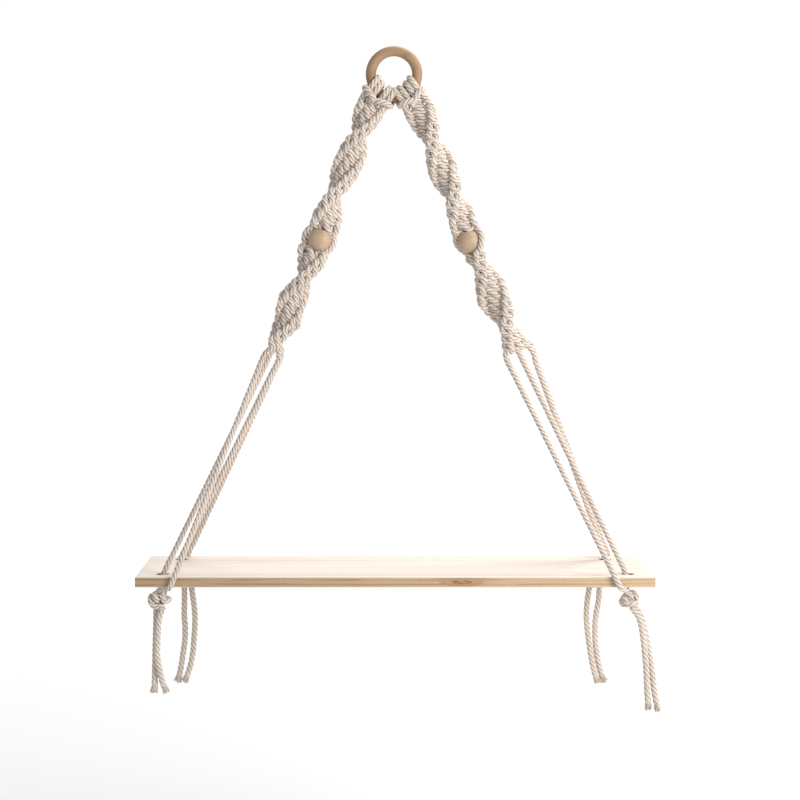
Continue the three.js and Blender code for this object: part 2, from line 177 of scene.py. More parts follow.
@dataclass(frozen=True)
class HalfKnotSizes:
    """The curve that a knotting cord follows through its half knots, in units of one cord."""

    unit: float = 3.235 * MM
    pitch: float = 1.7
    side: float = 2.40
    side_third: float = 0.06
    lift: float = 0.28
    lift_third: float = 0.87
    lift_fifth: float = -0.23
    filler_side: float = 0.7
    filler_points: int = 40
    lead: float = 1.583
    lead_fourth: float = -0.185
    points: int = 20
    unevenness: float = 0.045


@dataclass(frozen=True)
class ArmSizes:
    """One arm: where it starts and ends, where its bead is, and how its knotting lies.

    The turns are pairs of a distance from the ring in millimetres and an angle in degrees: the knotting
    is seen flat at every half turn from 0 and edge on in between. The swells are shares of its width,
    and the sways are millimetres to its right.
    """

    hand: Hand
    ring_angle: float
    head_angles: tuple
    foot_spread: float
    bead_along: float
    turns: tuple
    swells: tuple
    sways: tuple
    upper_knots: int = 17
    lower_knots: int = 13
    foot_drop: float = 212 * MM


LEFT_ARM = ArmSizes(
    Hand.LEFT, -37.5, (-55, -16), 86.3 * MM, 111 * MM,
    turns=((14, -360), (33, -270), (50, -180), (78, -90), (102, 0), (120, 12), (140, 90), (162, 180),
           (187, 270), (198, 292)),
    swells=((10, 1.08), (30, 1.0), (50, 1.04), (80, 1.0), (101, 1.14), (122, 1.1), (140, 0.98), (198, 1.0)),
    sways=((0, 0), (11, -1.9), (30, -2.3), (42, -1.5), (52, -1.6), (63, -2.4), (70, -1.6), (76, -2.6),
           (84, -2.2), (90, -1), (98, -0.4), (122, -0.4), (138, 0.3), (146, -0.2), (156, -1), (166, -0.4),
           (173, 0.6), (179, -0.6), (187, -1.8), (192, -0.5), (198, 0)),
)
RIGHT_ARM = ArmSizes(
    Hand.RIGHT, 44, (20, 53), 85.7 * MM, 113 * MM,
    turns=((14, -360), (38, -270), (60, -180), (80, -90), (99, 0), (113, 36), (122, 60), (131, 90),
           (154, 180), (176, 270), (198, 345)),
    swells=((10, 1.1), (35, 0.98), (60, 1.0), (80, 0.94), (99, 1.0), (131, 0.96), (155, 1.2), (176, 0.98),
            (198, 0.94)),
    sways=((0, 0), (11, 0.7), (30, 1.5), (52, 1.4), (65, 0.2), (75, 1.4), (84, 0.2), (92, 1.5), (100, 0.1),
           (126, 0), (138, 1.5), (146, 1.8), (156, 0.8), (163, 1.1), (171, 2.6), (178, 1.6), (184, 2.8),
           (198, 2.6)),
)


@dataclass(frozen=True)
class CornerSizes:
    """One corner of the board.

    Distances are from the board's end, leads are places in millimetres from the arm's foot, and tails
    are places in millimetres from the knot's middle. The sags are how far under the board each strand
    bows on its way to the knot, and the mouth and the slant are shares of half the board's thickness.
    """

    hand: Hand
    face: Face
    lean: float
    edge_top: float
    edge_foot: float
    knot: float
    turn: float
    edge_lead: tuple
    hole_lead: tuple
    tail_a: tuple
    tail_b: tuple
    knot_drop: float = 8.5 * MM
    knot_from_edge: float = 7 * MM
    knot_reach: float = 5.9 * MM
    knot_share: float = 0.54
    tail_slope: float = 0.8
    edge_gap: float = 0.15 * MM
    edge_sag: float = 1.4 * MM
    hole_sag: float = 1.2 * MM
    mouth: tuple = (0.5, 0.2, 0.6)
    slant: float = 0.35
    run_points: int = 14

    @property
    def label(self) -> str:
        """The corner's name, as its pieces start."""
        return f"{self.hand.name.lower()}_{self.face.name.lower()}"


CORNERS = (
    CornerSizes(
        Hand.LEFT, Face.FRONT, 0.0, 26.5 * MM, 23.5 * MM, 16 * MM, 345,
        edge_lead=((0.2, -7.2, 8.2), (-3.6, -5, 4.2), (-5.7, -3.6, 0)),
        hole_lead=((1.5, -2, 6.5), (-0.6, -1.6, 3), (-1.8, -1.2, 0)),
        tail_a=((-2.2, 1.8, -6), (-2.5, 2.2, -10), (-2.6, 2.4, -16), (-2.8, 2.4, -24), (-3, 2, -32),
                (-3.1, 1.6, -40), (-3.2, 0.9, -48), (-3.3, 0.2, -56), (-3.3, -0.4, -63.5)),
        tail_b=((2.2, -1.8, -6), (0.7, -1.9, -10), (-0.6, -1.8, -16), (-1, -1.9, -24), (-1.4, -2.2, -32),
                (-1.3, -2.5, -40), (0.2, -2.2, -48), (2.2, -1.8, -56), (5, -1.5, -63)),
    ),
    CornerSizes(
        Hand.RIGHT, Face.FRONT, 0.0, 27.3 * MM, 23.7 * MM, 18.6 * MM, 80, knot_drop=9 * MM,
        edge_lead=((-8, -3.3, 4.5), (-7.1, -3.6, 0)),
        hole_lead=((-0.4, -1.4, 7.5), (2.2, -1.6, 3.5), (3.9, -1.6, 0)),
        tail_a=((3.4, -2.2, -6), (6.6, -2.1, -9.2), (9, -1.8, -14.5), (10.4, -1.5, -21), (11.4, -1.1, -28),
                (12.4, -0.8, -37), (13.3, -0.7, -49), (13.8, -0.9, -62), (14.8, -1, -74.5)),
        tail_b=((5.9, 3, -6), (9.2, 2.9, -10), (11.4, 2.9, -16), (13, 2.9, -22), (14.3, 2.8, -29),
                (15.9, 2.4, -38), (17.4, 1.8, -49), (18.9, 1, -62), (21.2, 0, -75.5)),
    ),
    CornerSizes(
        Hand.LEFT, Face.BACK, -1.8 * MM, 26.5 * MM, 27 * MM, 27 * MM, 110, knot_drop=7 * MM,
        edge_lead=((6.8, 7.4, 8.6), (7.3, 6.2, 5), (6.7, 5.6, 1.2)),
        hole_lead=((5.2, 2.2, 7), (5.9, 1.8, 3.5), (5.9, 1.2, 0.6)),
        tail_a=((-2.3, 0, -6.2), (-2.3, 0, -10), (-2.3, 0, -18.5), (-2.4, 0.1, -27.5), (-1.8, 0.2, -36.5),
                (-2, 0.3, -45.5), (-3.3, 0.5, -55.5), (-4.9, 0.7, -65.5), (-7.2, 1, -76)),
        tail_b=((2.7, 0, -6.2), (3.1, 0, -10), (4.4, 0, -18.5), (5.3, -0.1, -27.5), (5.2, -0.2, -36.5),
                (4.6, -0.3, -45.5), (3.7, -0.5, -55.5), (1.6, -0.8, -65.5), (-1.9, -1, -75.5)),
    ),
    CornerSizes(
        Hand.RIGHT, Face.BACK, 1.8 * MM, 19 * MM, 23 * MM, 30 * MM, 300, knot_drop=7 * MM,
        edge_lead=((9.2, 4.2, 11.8), (11.6, 5, 8), (13.3, 5.4, 2.5), (13.9, 5.6, -1.1)),
        hole_lead=((4.5, 1.6, 10.8), (8.8, 1.6, 9), (12, 1.4, 4.5), (13.3, 1.3, -1)),
        tail_a=((-3.6, 0, -6.2), (-4.1, 0, -10), (-5.3, 0, -18.5), (-5.8, -0.1, -27.5), (-5.3, -0.3, -36.5),
                (-4.2, -0.6, -45.5), (-2.8, -1, -55.5), (-0.9, -1.4, -65.5), (2, -1.8, -76)),
        tail_b=((3.3, 0, -6.2), (3.5, 0, -10), (2.8, 0, -18.5), (1.2, 0.1, -27.5), (0.5, 0.3, -36.5),
                (0.7, 0.6, -45.5), (1.8, 1, -55.5), (3.8, 1.4, -65.5), (7, 1.8, -76)),
    ),
)


def linked(name: str, data: bpy.types.ID) -> bpy.types.Object:
    """Puts a mesh, a lamp or a camera in the scene.

    Args:
        name: The object's name.
        data: What the object shows.

    Returns:
        The object, at the origin.
    """
    made = bpy.data.objects.new(name, data)
    bpy.context.scene.collection.objects.link(made)
    return made


def plain(name: str, shape: bmesh.types.BMesh) -> bpy.types.Object:
    """Makes an object of a shape.

    Args:
        name: The object's name.
        shape: The shape, which is freed.

    Returns:
        The object, at the origin.
    """
    mesh = bpy.data.meshes.new(name)
    shape.to_mesh(mesh)
    shape.free()
    return linked(name, mesh)


def unit(vector: np.ndarray) -> np.ndarray:
    """Returns the vector at length one."""
    return vector / np.linalg.norm(vector)


def spline(points: np.ndarray, spacing: float) -> tuple[np.ndarray, np.ndarray]:
    """Runs a centripetal Catmull-Rom line through points.

    Args:
        points: The points to pass through, one row each.
        spacing: The longest step along the line.

    Returns:
        The line's points, and for each its place counted in the given points.
    """
    ends = np.vstack([2 * points[0] - points[1], points, 2 * points[-1] - points[-2]])
    line, places = [], []
    for i in range(len(points) - 1):
        p0, p1, p2, p3 = ends[i : i + 4]
        k0 = 0.0
        k1 = k0 + max(np.linalg.norm(p1 - p0), NOTHING) ** 0.5
        k2 = k1 + max(np.linalg.norm(p2 - p1), NOTHING) ** 0.5
        k3 = k2 + max(np.linalg.norm(p3 - p2), NOTHING) ** 0.5
        count = max(1, math.ceil(np.linalg.norm(p2 - p1) / spacing))
        k = (k1 + (k2 - k1) * np.arange(count) / count)[:, None]
        a1 = (k1 - k) / (k1 - k0) * p0 + (k - k0) / (k1 - k0) * p1
        a2 = (k2 - k) / (k2 - k1) * p1 + (k - k1) / (k2 - k1) * p2
        a3 = (k3 - k) / (k3 - k2) * p2 + (k - k2) / (k3 - k2) * p3
        b1 = (k2 - k) / (k2 - k0) * a1 + (k - k0) / (k2 - k0) * a2
        b2 = (k3 - k) / (k3 - k1) * a2 + (k - k1) / (k3 - k1) * a3
        line.append((k2 - k) / (k2 - k1) * b1 + (k - k1) / (k2 - k1) * b2)
        places.append(i + np.arange(count) / count)
    line.append(points[-1:])
    places.append(np.array([len(points) - 1.0]))
    return np.vstack(line), np.concatenate(places)


def arc_lengths(line: np.ndarray) -> np.ndarray:
    """Returns how far along the line each of its points is."""
    steps = np.linalg.norm(np.diff(line, axis=0), axis=1)
    return np.concatenate([[0.0], np.cumsum(steps)])


def carried_normals(line: np.ndarray) -> tuple[np.ndarray, np.ndarray]:
    """Carries one normal along a line without turning it round the line.

    Args:
        line: The line's points.

    Returns:
        The tangents and the normals, one row for each point.
    """
    tangents = np.gradient(line, axis=0)
    tangents /= np.linalg.norm(tangents, axis=1)[:, None]
    start = np.array([1.0, 0.0, 0.0]) if abs(tangents[0][0]) < 0.9 else np.array([0.0, 1.0, 0.0])
    normals = np.empty_like(line)
    normals[0] = unit(start - tangents[0] * (start @ tangents[0]))
    for i in range(len(line) - 1):
        step = line[i + 1] - line[i]
        size = max(step @ step, NOTHING**2)
        mirrored = normals[i] - step * (2 / size) * (step @ normals[i])
        swung = tangents[i] - step * (2 / size) * (step @ tangents[i])
        turn = tangents[i + 1] - swung
        size = max(turn @ turn, NOTHING**2)
        normals[i + 1] = unit(mirrored - turn * (2 / size) * (turn @ mirrored))
    return tangents, normals


@dataclass
class Strand:
    """A stretch of rope, ready to sweep: a line, the ply's direction and the radius at each point."""

    line: np.ndarray
    normals: np.ndarray
    radii: np.ndarray
    along: np.ndarray

    def part(self, kept: np.ndarray | slice) -> "Strand":
        """Returns the chosen points of the stretch."""
        return Strand(self.line[kept], self.normals[kept], self.radii[kept], self.along[kept])

    def reversed(self) -> "Strand":
        """Returns the same stretch, run the other way."""
        return self.part(slice(None, None, -1))

    def shortened(self, length: float) -> "Strand":
        """Returns the stretch with some length taken off its far end."""
        reach = arc_lengths(self.line)
        return self.part(reach <= reach[-1] - length)


@dataclass
class CordRoute:
    """One whole cord, from tail to tail, put together from stretches with named joints."""

    sizes: RopeSizes
    points: list = field(default_factory=list)
    diameters: list = field(default_factory=list)
    marks: dict = field(default_factory=dict)
    stops: dict = field(default_factory=dict)
    whole: Strand | None = None

    def add(self, points: np.ndarray, diameter: float) -> None:
        """Adds a stretch.

        Args:
            points: Its points, one row each.
            diameter: The rope's diameter there.
        """
        for point in points:
            self.points.append(np.array(point, float))
            self.diameters.append(diameter)

    def mark(self, name: str, place: int = -1) -> None:
        """Names a point added so far, so that the cord can be parted there: the last one, unless said."""
        self.marks[name] = range(len(self.points))[place]

    def lay_out(self) -> None:
        """Works out the whole line once, with its plies running on through every joint."""
        sizes = self.sizes
        fine, places = spline(np.array(self.points), sizes.step / 2)
        reach = arc_lengths(fine)
        self.stops = {name: float(np.interp(i, places, reach)) for name, i in self.marks.items()}
        cuts = sorted({0.0, float(reach[-1]), *self.stops.values()})
        samples = [np.array([0.0])]
        for start, end in zip(cuts, cuts[1:]):
            count = max(2, round((end - start) / sizes.step))
            samples.append(np.linspace(start, end, count + 1)[1:])
        along = np.concatenate(samples)
        line = np.stack([np.interp(along, reach, fine[:, k]) for k in range(3)], axis=1)
        wide = np.interp(places, np.arange(len(self.diameters)), self.diameters)
        kernel = np.ones(sizes.eased_points) / sizes.eased_points
        wide = np.convolve(np.pad(wide, sizes.eased_points // 2, mode="edge"), kernel, mode="valid")
        tangents, normals = carried_normals(line)
        phase = sizes.direction.value * 2 * math.pi * along / sizes.lay
        sides = np.cross(tangents, normals)
        plies = normals * np.cos(phase)[:, None] + sides * np.sin(phase)[:, None]
        self.whole = Strand(line, plies, np.interp(along, reach, wide) / 2, along)

    def between(self, start: str, end: str) -> Strand:
        """Returns the stretch between two marks.

        Args:
            start: The mark where it starts.
            end: The mark where it ends.

        Returns:
            The stretch, with both its end points.
        """
        along, slack = self.whole.along, 100 * NOTHING
        kept = (along >= self.stops[start] - slack) & (along <= self.stops[end] + slack)
        return self.whole.part(kept)


class NodeTree:
    """A small helper that adds and joins nodes in one tree."""

    def __init__(self, tree: bpy.types.NodeTree) -> None:
        """Holds the tree that nodes go into."""
        self.tree = tree

    def add(self, kind: str, inputs: dict | None = None, **settings: object) -> bpy.types.Node:
        """Adds a node.

        Args:
            kind: The node's type name.
            inputs: For each input, by name or number, a socket to join or a value to set.
            **settings: Properties of the node itself.

        Returns:
            The node.
        """
        node = self.tree.nodes.new(kind)
        for name, value in settings.items():
            setattr(node, name, value)
        for key, value in (inputs or {}).items():
            self.fill(node.inputs[key], value)
        return node

    def fill(self, socket: bpy.types.NodeSocket, value: object) -> None:
        """Joins a socket to an input, or sets the input's value.

        Args:
            socket: The input.
            value: A socket to join to it, or its value.
        """
        if isinstance(value, bpy.types.NodeSocket):
            self.tree.links.new(value, socket)
        else:
            socket.default_value = value

    def math(self, operation: str, *values: object) -> bpy.types.NodeSocket:
        """Adds a Math node and returns its output."""
        node = self.add("ShaderNodeMath", dict(enumerate(values)), operation=operation)
        return node.outputs[0]

    def vector(self, operation: str, *values: object) -> bpy.types.NodeSocket:
        """Adds a Vector Math node and returns its output."""
        node = self.add("ShaderNodeVectorMath", dict(enumerate(values)), operation=operation)
        return node.outputs["Value" if operation in ("LENGTH", "DOT_PRODUCT") else "Vector"]

    def times(self, value: object, share: object) -> bpy.types.NodeSocket:
        """Scales a value."""
        return self.math("MULTIPLY", value, share)

    def plus(self, value: object, more: object) -> bpy.types.NodeSocket:
        """Adds to a value."""
        return self.math("ADD", value, more)

    def offset(self, value: object, middle: float, share: object) -> bpy.types.NodeSocket:
        """Takes a middle off a value and scales what is left."""
        return self.times(self.math("SUBTRACT", value, middle), share)

    def stretched(self, place: object, share: float) -> bpy.types.NodeSocket:
        """Scales a place along its first axis, which draws a texture out when the share is small."""
        return self.vector("MULTIPLY", place, (share, 1.0, 1.0))

    def part(self, place: object, axis: str) -> bpy.types.NodeSocket:
        """Takes one axis of a place."""
        return self.add("ShaderNodeSeparateXYZ", {"Vector": place}).outputs[axis]

    def joined(self, **parts: object) -> bpy.types.NodeSocket:
        """Joins values into a place."""
        return self.add("ShaderNodeCombineXYZ", parts).outputs[0]

    def ramp(self, value: object, source: tuple, target: tuple = (0.0, 1.0)) -> bpy.types.NodeSocket:
        """Maps a value from one range to another and holds it at the ends.

        Args:
            value: The value.
            source: The range that it comes from.
            target: The range that it goes to.

        Returns:
            The mapped value.
        """
        ends = {"From Min": source[0], "From Max": source[1], "To Min": target[0], "To Max": target[1]}
        return self.add("ShaderNodeMapRange", {"Value": value, **ends}).outputs[0]

    def noise(
        self, place: object, scale: float, detail: float = 2.0, rough: float = 0.5
    ) -> bpy.types.NodeSocket:
        """Adds a noise texture.

        Args:
            place: Where it is read.
            scale: How fine it is.
            detail: How many finer layers it has.
            rough: How strong those layers are.

        Returns:
            Its value, about 0.5 on the whole.
        """
        inputs = {"Vector": place, "Scale": scale, "Detail": detail, "Roughness": rough}
        return self.add("ShaderNodeTexNoise", inputs).outputs[0]

    def mix(self, factor: object, first: object, second: object) -> bpy.types.NodeSocket:
        """Mixes two colours.

        Args:
            factor: How much there is of the second.
            first: A colour, or a socket that gives one.
            second: The same.

        Returns:
            The mixed colour.
        """
        node = self.add("ShaderNodeMix", {"Factor": factor}, data_type="RGBA")
        for socket, colour in ((node.inputs[6], first), (node.inputs[7], second)):
            self.fill(socket, colour if isinstance(colour, bpy.types.NodeSocket) else (*colour, 1.0))
        return node.outputs[2]

    def kept(self, name: str, output: str) -> bpy.types.NodeSocket:
        """Reads an attribute of the mesh in a material."""
        return self.add("ShaderNodeAttribute", attribute_name=name).outputs[output]

    def named(self, name: str, kind: str = "FLOAT") -> bpy.types.NodeSocket:
        """Reads a named attribute in a geometry tree."""
        node = self.add("GeometryNodeInputNamedAttribute", {"Name": name}, data_type=kind)
        return node.outputs["Attribute"]


class GeometryTool:
    """A geometry node group with named inputs, run on a mesh to give another mesh."""

    def __init__(self, name: str, inputs: dict) -> None:
        """Makes the group.

        Args:
            name: The group's name.
            inputs: For each input's name, its socket type and its value.
        """
        self.inputs = inputs
        self.group = bpy.data.node_groups.new(name, "GeometryNodeTree")
        interface = self.group.interface
        interface.new_socket("Geometry", in_out="INPUT", socket_type="NodeSocketGeometry")
        for label, (kind, value) in inputs.items():
            socket = interface.new_socket(label, in_out="INPUT", socket_type=kind)
            if value is not None:
                socket.default_value = value
        interface.new_socket("Geometry", in_out="OUTPUT", socket_type="NodeSocketGeometry")
        self.nodes = NodeTree(self.group)
        self.source = self.nodes.add("NodeGroupInput")

    def finish(self, geometry: bpy.types.NodeSocket) -> None:
        """Ends the tree in realised instances with their material set.

        Args:
            geometry: What the tree has made so far.
        """
        nodes = self.nodes
        real = nodes.add("GeometryNodeRealizeInstances", {"Geometry": geometry})
        smooth = nodes.add("GeometryNodeSetShadeSmooth", {"Geometry": real.outputs[0]})
        inputs = {"Geometry": smooth.outputs[0], "Material": self.source.outputs["Material"]}
        dressed = nodes.add("GeometryNodeSetMaterial", inputs)
        nodes.add("NodeGroupOutput", {"Geometry": dressed.outputs[0]})

    def run(self, name: str, mesh: bpy.types.Mesh, material: bpy.types.Material) -> bpy.types.Object:
        """Runs the group on a mesh.

        Args:
            name: The name of the piece that is made.
            mesh: The mesh that the group starts from, which is used up.
            material: The piece's material.

        Returns:
            A plain mesh object at the origin.
        """
        carrier = linked(name + "_source", mesh)
        modifier = carrier.modifiers.new("shape", "NODES")
        modifier.node_group = self.group
        sockets = {s.name: s.identifier for s in self.group.interface.items_tree if s.in_out == "INPUT"}
        for label, (_, value) in self.inputs.items():
            modifier[sockets[label]] = material if label == "Material" else value
        bpy.context.view_layer.update()
        depsgraph = bpy.context.evaluated_depsgraph_get()
        result = bpy.data.meshes.new_from_object(
            carrier.evaluated_get(depsgraph), preserve_all_data_layers=True, depsgraph=depsgraph
        )
        carrier.modifiers.remove(modifier)
        bpy.data.objects.remove(carrier)
        bpy.data.meshes.remove(mesh)
        return linked(name, result)


def line_mesh(name: str, strands: list[Strand]) -> bpy.types.Mesh:
    """Makes a mesh of bare lines that carries what a sweep needs at each point.

    Args:
        name: The mesh's name.
        strands: The lines.

    Returns:
        The mesh, with rope_normal, rope_radius and rope_along on its points.
    """
    mesh = bpy.data.meshes.new(name)
    points = np.vstack([s.line for s in strands])
    edges, first = [], 0
    for strand in strands:
        edges += [(first + i, first + i + 1) for i in range(len(strand.line) - 1)]
        first += len(strand.line)
    mesh.from_pydata(points.tolist(), edges, [])
    normals = mesh.attributes.new("rope_normal", "FLOAT_VECTOR", "POINT")
    normals.data.foreach_set("vector", np.vstack([s.normals for s in strands]).astype(np.float32).ravel())
    for label, part in (("rope_radius", "radii"), ("rope_along", "along")):
        values = np.concatenate([getattr(s, part) for s in strands]).astype(np.float32)
        mesh.attributes.new(label, "FLOAT", "POINT").data.foreach_set("value", values)
    return mesh


class RopeSweep(GeometryTool):
    """Sweeps a lobed section along lines: each lobe is one ply of the rope."""

    def __init__(self, sizes: RopeSizes) -> None:
        """Builds the tree.

        Args:
            sizes: The rope's sizes, which its inputs hold.
        """
        super().__init__(
            "laid_rope",
            {
                "Plies": ("NodeSocketInt", sizes.plies),
                "Section Points": ("NodeSocketInt", sizes.section_points),
                "Valley Depth": ("NodeSocketFloat", sizes.valley),
                "Fibre Lift": ("NodeSocketFloat", sizes.fibre_lift),
                "Fibre Scale": ("NodeSocketFloat", sizes.fibre_scale),
                "Material": ("NodeSocketMaterial", None),
            },
        )
        self.sizes = sizes
        nodes, source = self.nodes, self.source.outputs
        lines = nodes.add("GeometryNodeMeshToCurve", {"Mesh": source["Geometry"]})
        facing = nodes.add("GeometryNodeSetCurveNormal", {"Curve": lines.outputs[0]}, mode="FREE")
        nodes.fill(facing.inputs["Normal"], nodes.named("rope_normal", "FLOAT_VECTOR"))
        radius = nodes.named("rope_radius")
        sized = nodes.add("GeometryNodeSetCurveRadius", {"Curve": facing.outputs[0], "Radius": radius})
        swept = {"Curve": sized.outputs[0], "Profile Curve": self.section(source), "Fill Caps": True}
        sweep = nodes.add("GeometryNodeCurveToMesh", swept)
        if "Scale" in sweep.inputs:
            nodes.fill(sweep.inputs["Scale"], nodes.named("rope_radius"))
        self.finish(self.fibres(sweep.outputs[0], source))

    def section(self, source: bpy.types.bpy_prop_collection) -> bpy.types.NodeSocket:
        """Makes the lobed section.

        Args:
            source: The group's inputs.

        Returns:
            The section, with its own corner places kept as rope_section.
        """
        nodes = self.nodes
        round_section = {"Resolution": source["Section Points"], "Radius": 1.0}
        circle = nodes.add("GeometryNodeCurvePrimitiveCircle", round_section)
        place = nodes.add("GeometryNodeInputPosition").outputs[0]
        factor = nodes.add("GeometryNodeSplineParameter").outputs["Factor"]
        angle = nodes.times(factor, nodes.times(source["Plies"], math.pi))
        lobe = nodes.math("ABSOLUTE", nodes.math("COSINE", angle))
        depth = source["Valley Depth"]
        reach = nodes.plus(nodes.math("SUBTRACT", 1.0, depth), nodes.times(lobe, depth))
        spread = nodes.joined(X=reach, Y=reach, Z=reach)
        lobed = {"Geometry": circle.outputs[0], "Position": nodes.vector("MULTIPLY", place, spread)}
        shaped = nodes.add("GeometryNodeSetPosition", lobed)
        named = {"Geometry": shaped.outputs[0], "Name": "rope_section"}
        kept = nodes.add("GeometryNodeStoreNamedAttribute", named, data_type="FLOAT_VECTOR", domain="POINT")
        nodes.fill(kept.inputs["Value"], nodes.add("GeometryNodeInputPosition").outputs[0])
        return kept.outputs[0]

    def fibres(
        self, geometry: bpy.types.NodeSocket, source: bpy.types.bpy_prop_collection
    ) -> bpy.types.NodeSocket:
        """Lifts the surface a little in long streaks, as soft cotton yarn does.

        Args:
            geometry: The swept rope.
            source: The group's inputs.

        Returns:
            The rope with its streaks.
        """
        nodes, sizes = self.nodes, self.sizes
        section = nodes.named("rope_section", "FLOAT_VECTOR")
        along = nodes.times(nodes.named("rope_along"), source["Fibre Scale"])
        stretched = nodes.times(along, sizes.fibre_stretch)
        streak = nodes.joined(Z=stretched)
        across = nodes.vector("MULTIPLY", section, (sizes.fibre_across,) * 3)
        noise = nodes.noise(nodes.vector("ADD", streak, across), 1.0)
        lift = nodes.offset(noise, 0.5, source["Fibre Lift"])
        amount = nodes.joined(X=lift, Y=lift, Z=lift)
        normal = nodes.add("GeometryNodeInputNormal").outputs[0]
        offset = nodes.vector("MULTIPLY", normal, amount)
        return nodes.add("GeometryNodeSetPosition", {"Geometry": geometry, "Offset": offset}).outputs[0]

    def rope(self, name: str, strands: list[Strand], cloth: bpy.types.Material) -> bpy.types.Object:
        """Makes a piece of rope from one or more stretches."""
        return self.run(name, line_mesh(name, strands), cloth)


@dataclass(frozen=True)
class CottonFinish:
    """Matt twisted cotton: pale on each ply's crown, with painted shade darkening the valleys between the
    plies, and fine fibre streaks.

    The crown's reach is the range of distances from the rope's middle from its valleys to its crowns.
    """

    name: str = "cotton_cord"
    crown: tuple = (0.74, 0.64, 0.55)
    crown_reach: tuple = (0.74, 0.95)
    # painted shade: the colour that the valleys between the plies are darkened towards
    valley: tuple = (0.26, 0.195, 0.145)
    valley_shade_share: float = 0.85
    streak: tuple = (0.88, 0.80, 0.72)
    streak_range: tuple = (0.35, 0.7)
    streak_share: float = 0.55
    fibres_along: float = 420.0
    fibres_across: float = 9.0
    fibre_detail: float = 4.0
    fibre_rough: float = 0.65
    cloud_scale: float = 38.0
    cloud_share: float = 0.35
    bump: float = 0.7
    bump_height: float = 0.4 * MM
    roughness: float = 0.95
    sheen: float = 0.25
    sheen_roughness: float = 0.6

    def material(self) -> bpy.types.Material:
        """Builds the material.

        Returns:
            The material.
        """
        made, nodes, shader = new_material(self.name)
        section, along = nodes.kept("rope_section", "Vector"), nodes.kept("rope_along", "Fac")
        crown = nodes.ramp(nodes.vector("LENGTH", section), self.crown_reach)
        far = nodes.times(along, self.fibres_along)
        stretched = nodes.joined(Z=far)
        across = nodes.vector("MULTIPLY", section, (self.fibres_across,) * 3)
        grain = nodes.vector("ADD", stretched, across)
        fibres = nodes.noise(grain, 1.0, self.fibre_detail, self.fibre_rough)
        cloud = nodes.noise(nodes.add("ShaderNodeTexCoord").outputs["Object"], self.cloud_scale)
        streaks = nodes.times(nodes.ramp(fibres, self.streak_range), self.streak_share)
        pale = nodes.mix(streaks, self.crown, self.streak)
        # painted shade: darkens the rope from each ply's crown down into the valleys between the plies
        shade = nodes.times(nodes.math("SUBTRACT", 1.0, crown), self.valley_shade_share)
        deep = nodes.mix(shade, pale, self.valley)
        worn = nodes.plus(1.0, nodes.offset(cloud, 0.5, self.cloud_share))
        tint = nodes.add("ShaderNodeHueSaturation", {"Color": deep, "Value": worn})
        nodes.fill(shader.inputs["Base Color"], tint.outputs[0])
        nodes.fill(shader.inputs["Roughness"], self.roughness)
        nodes.fill(shader.inputs["Sheen Weight"], self.sheen)
        nodes.fill(shader.inputs["Sheen Roughness"], self.sheen_roughness)
        rise = {"Height": fibres, "Strength": self.bump, "Distance": self.bump_height}
        nodes.fill(shader.inputs["Normal"], nodes.add("ShaderNodeBump", rise).outputs[0])
        return made


def new_material(name: str) -> tuple[bpy.types.Material, NodeTree, bpy.types.Node]:
    """Starts a material.

    Args:
        name: Its name.

    Returns:
        The material, its nodes and its shader.
    """
    made = bpy.data.materials.new(name)
    made.use_nodes = True
    return made, NodeTree(made.node_tree), made.node_tree.nodes["Principled BSDF"]


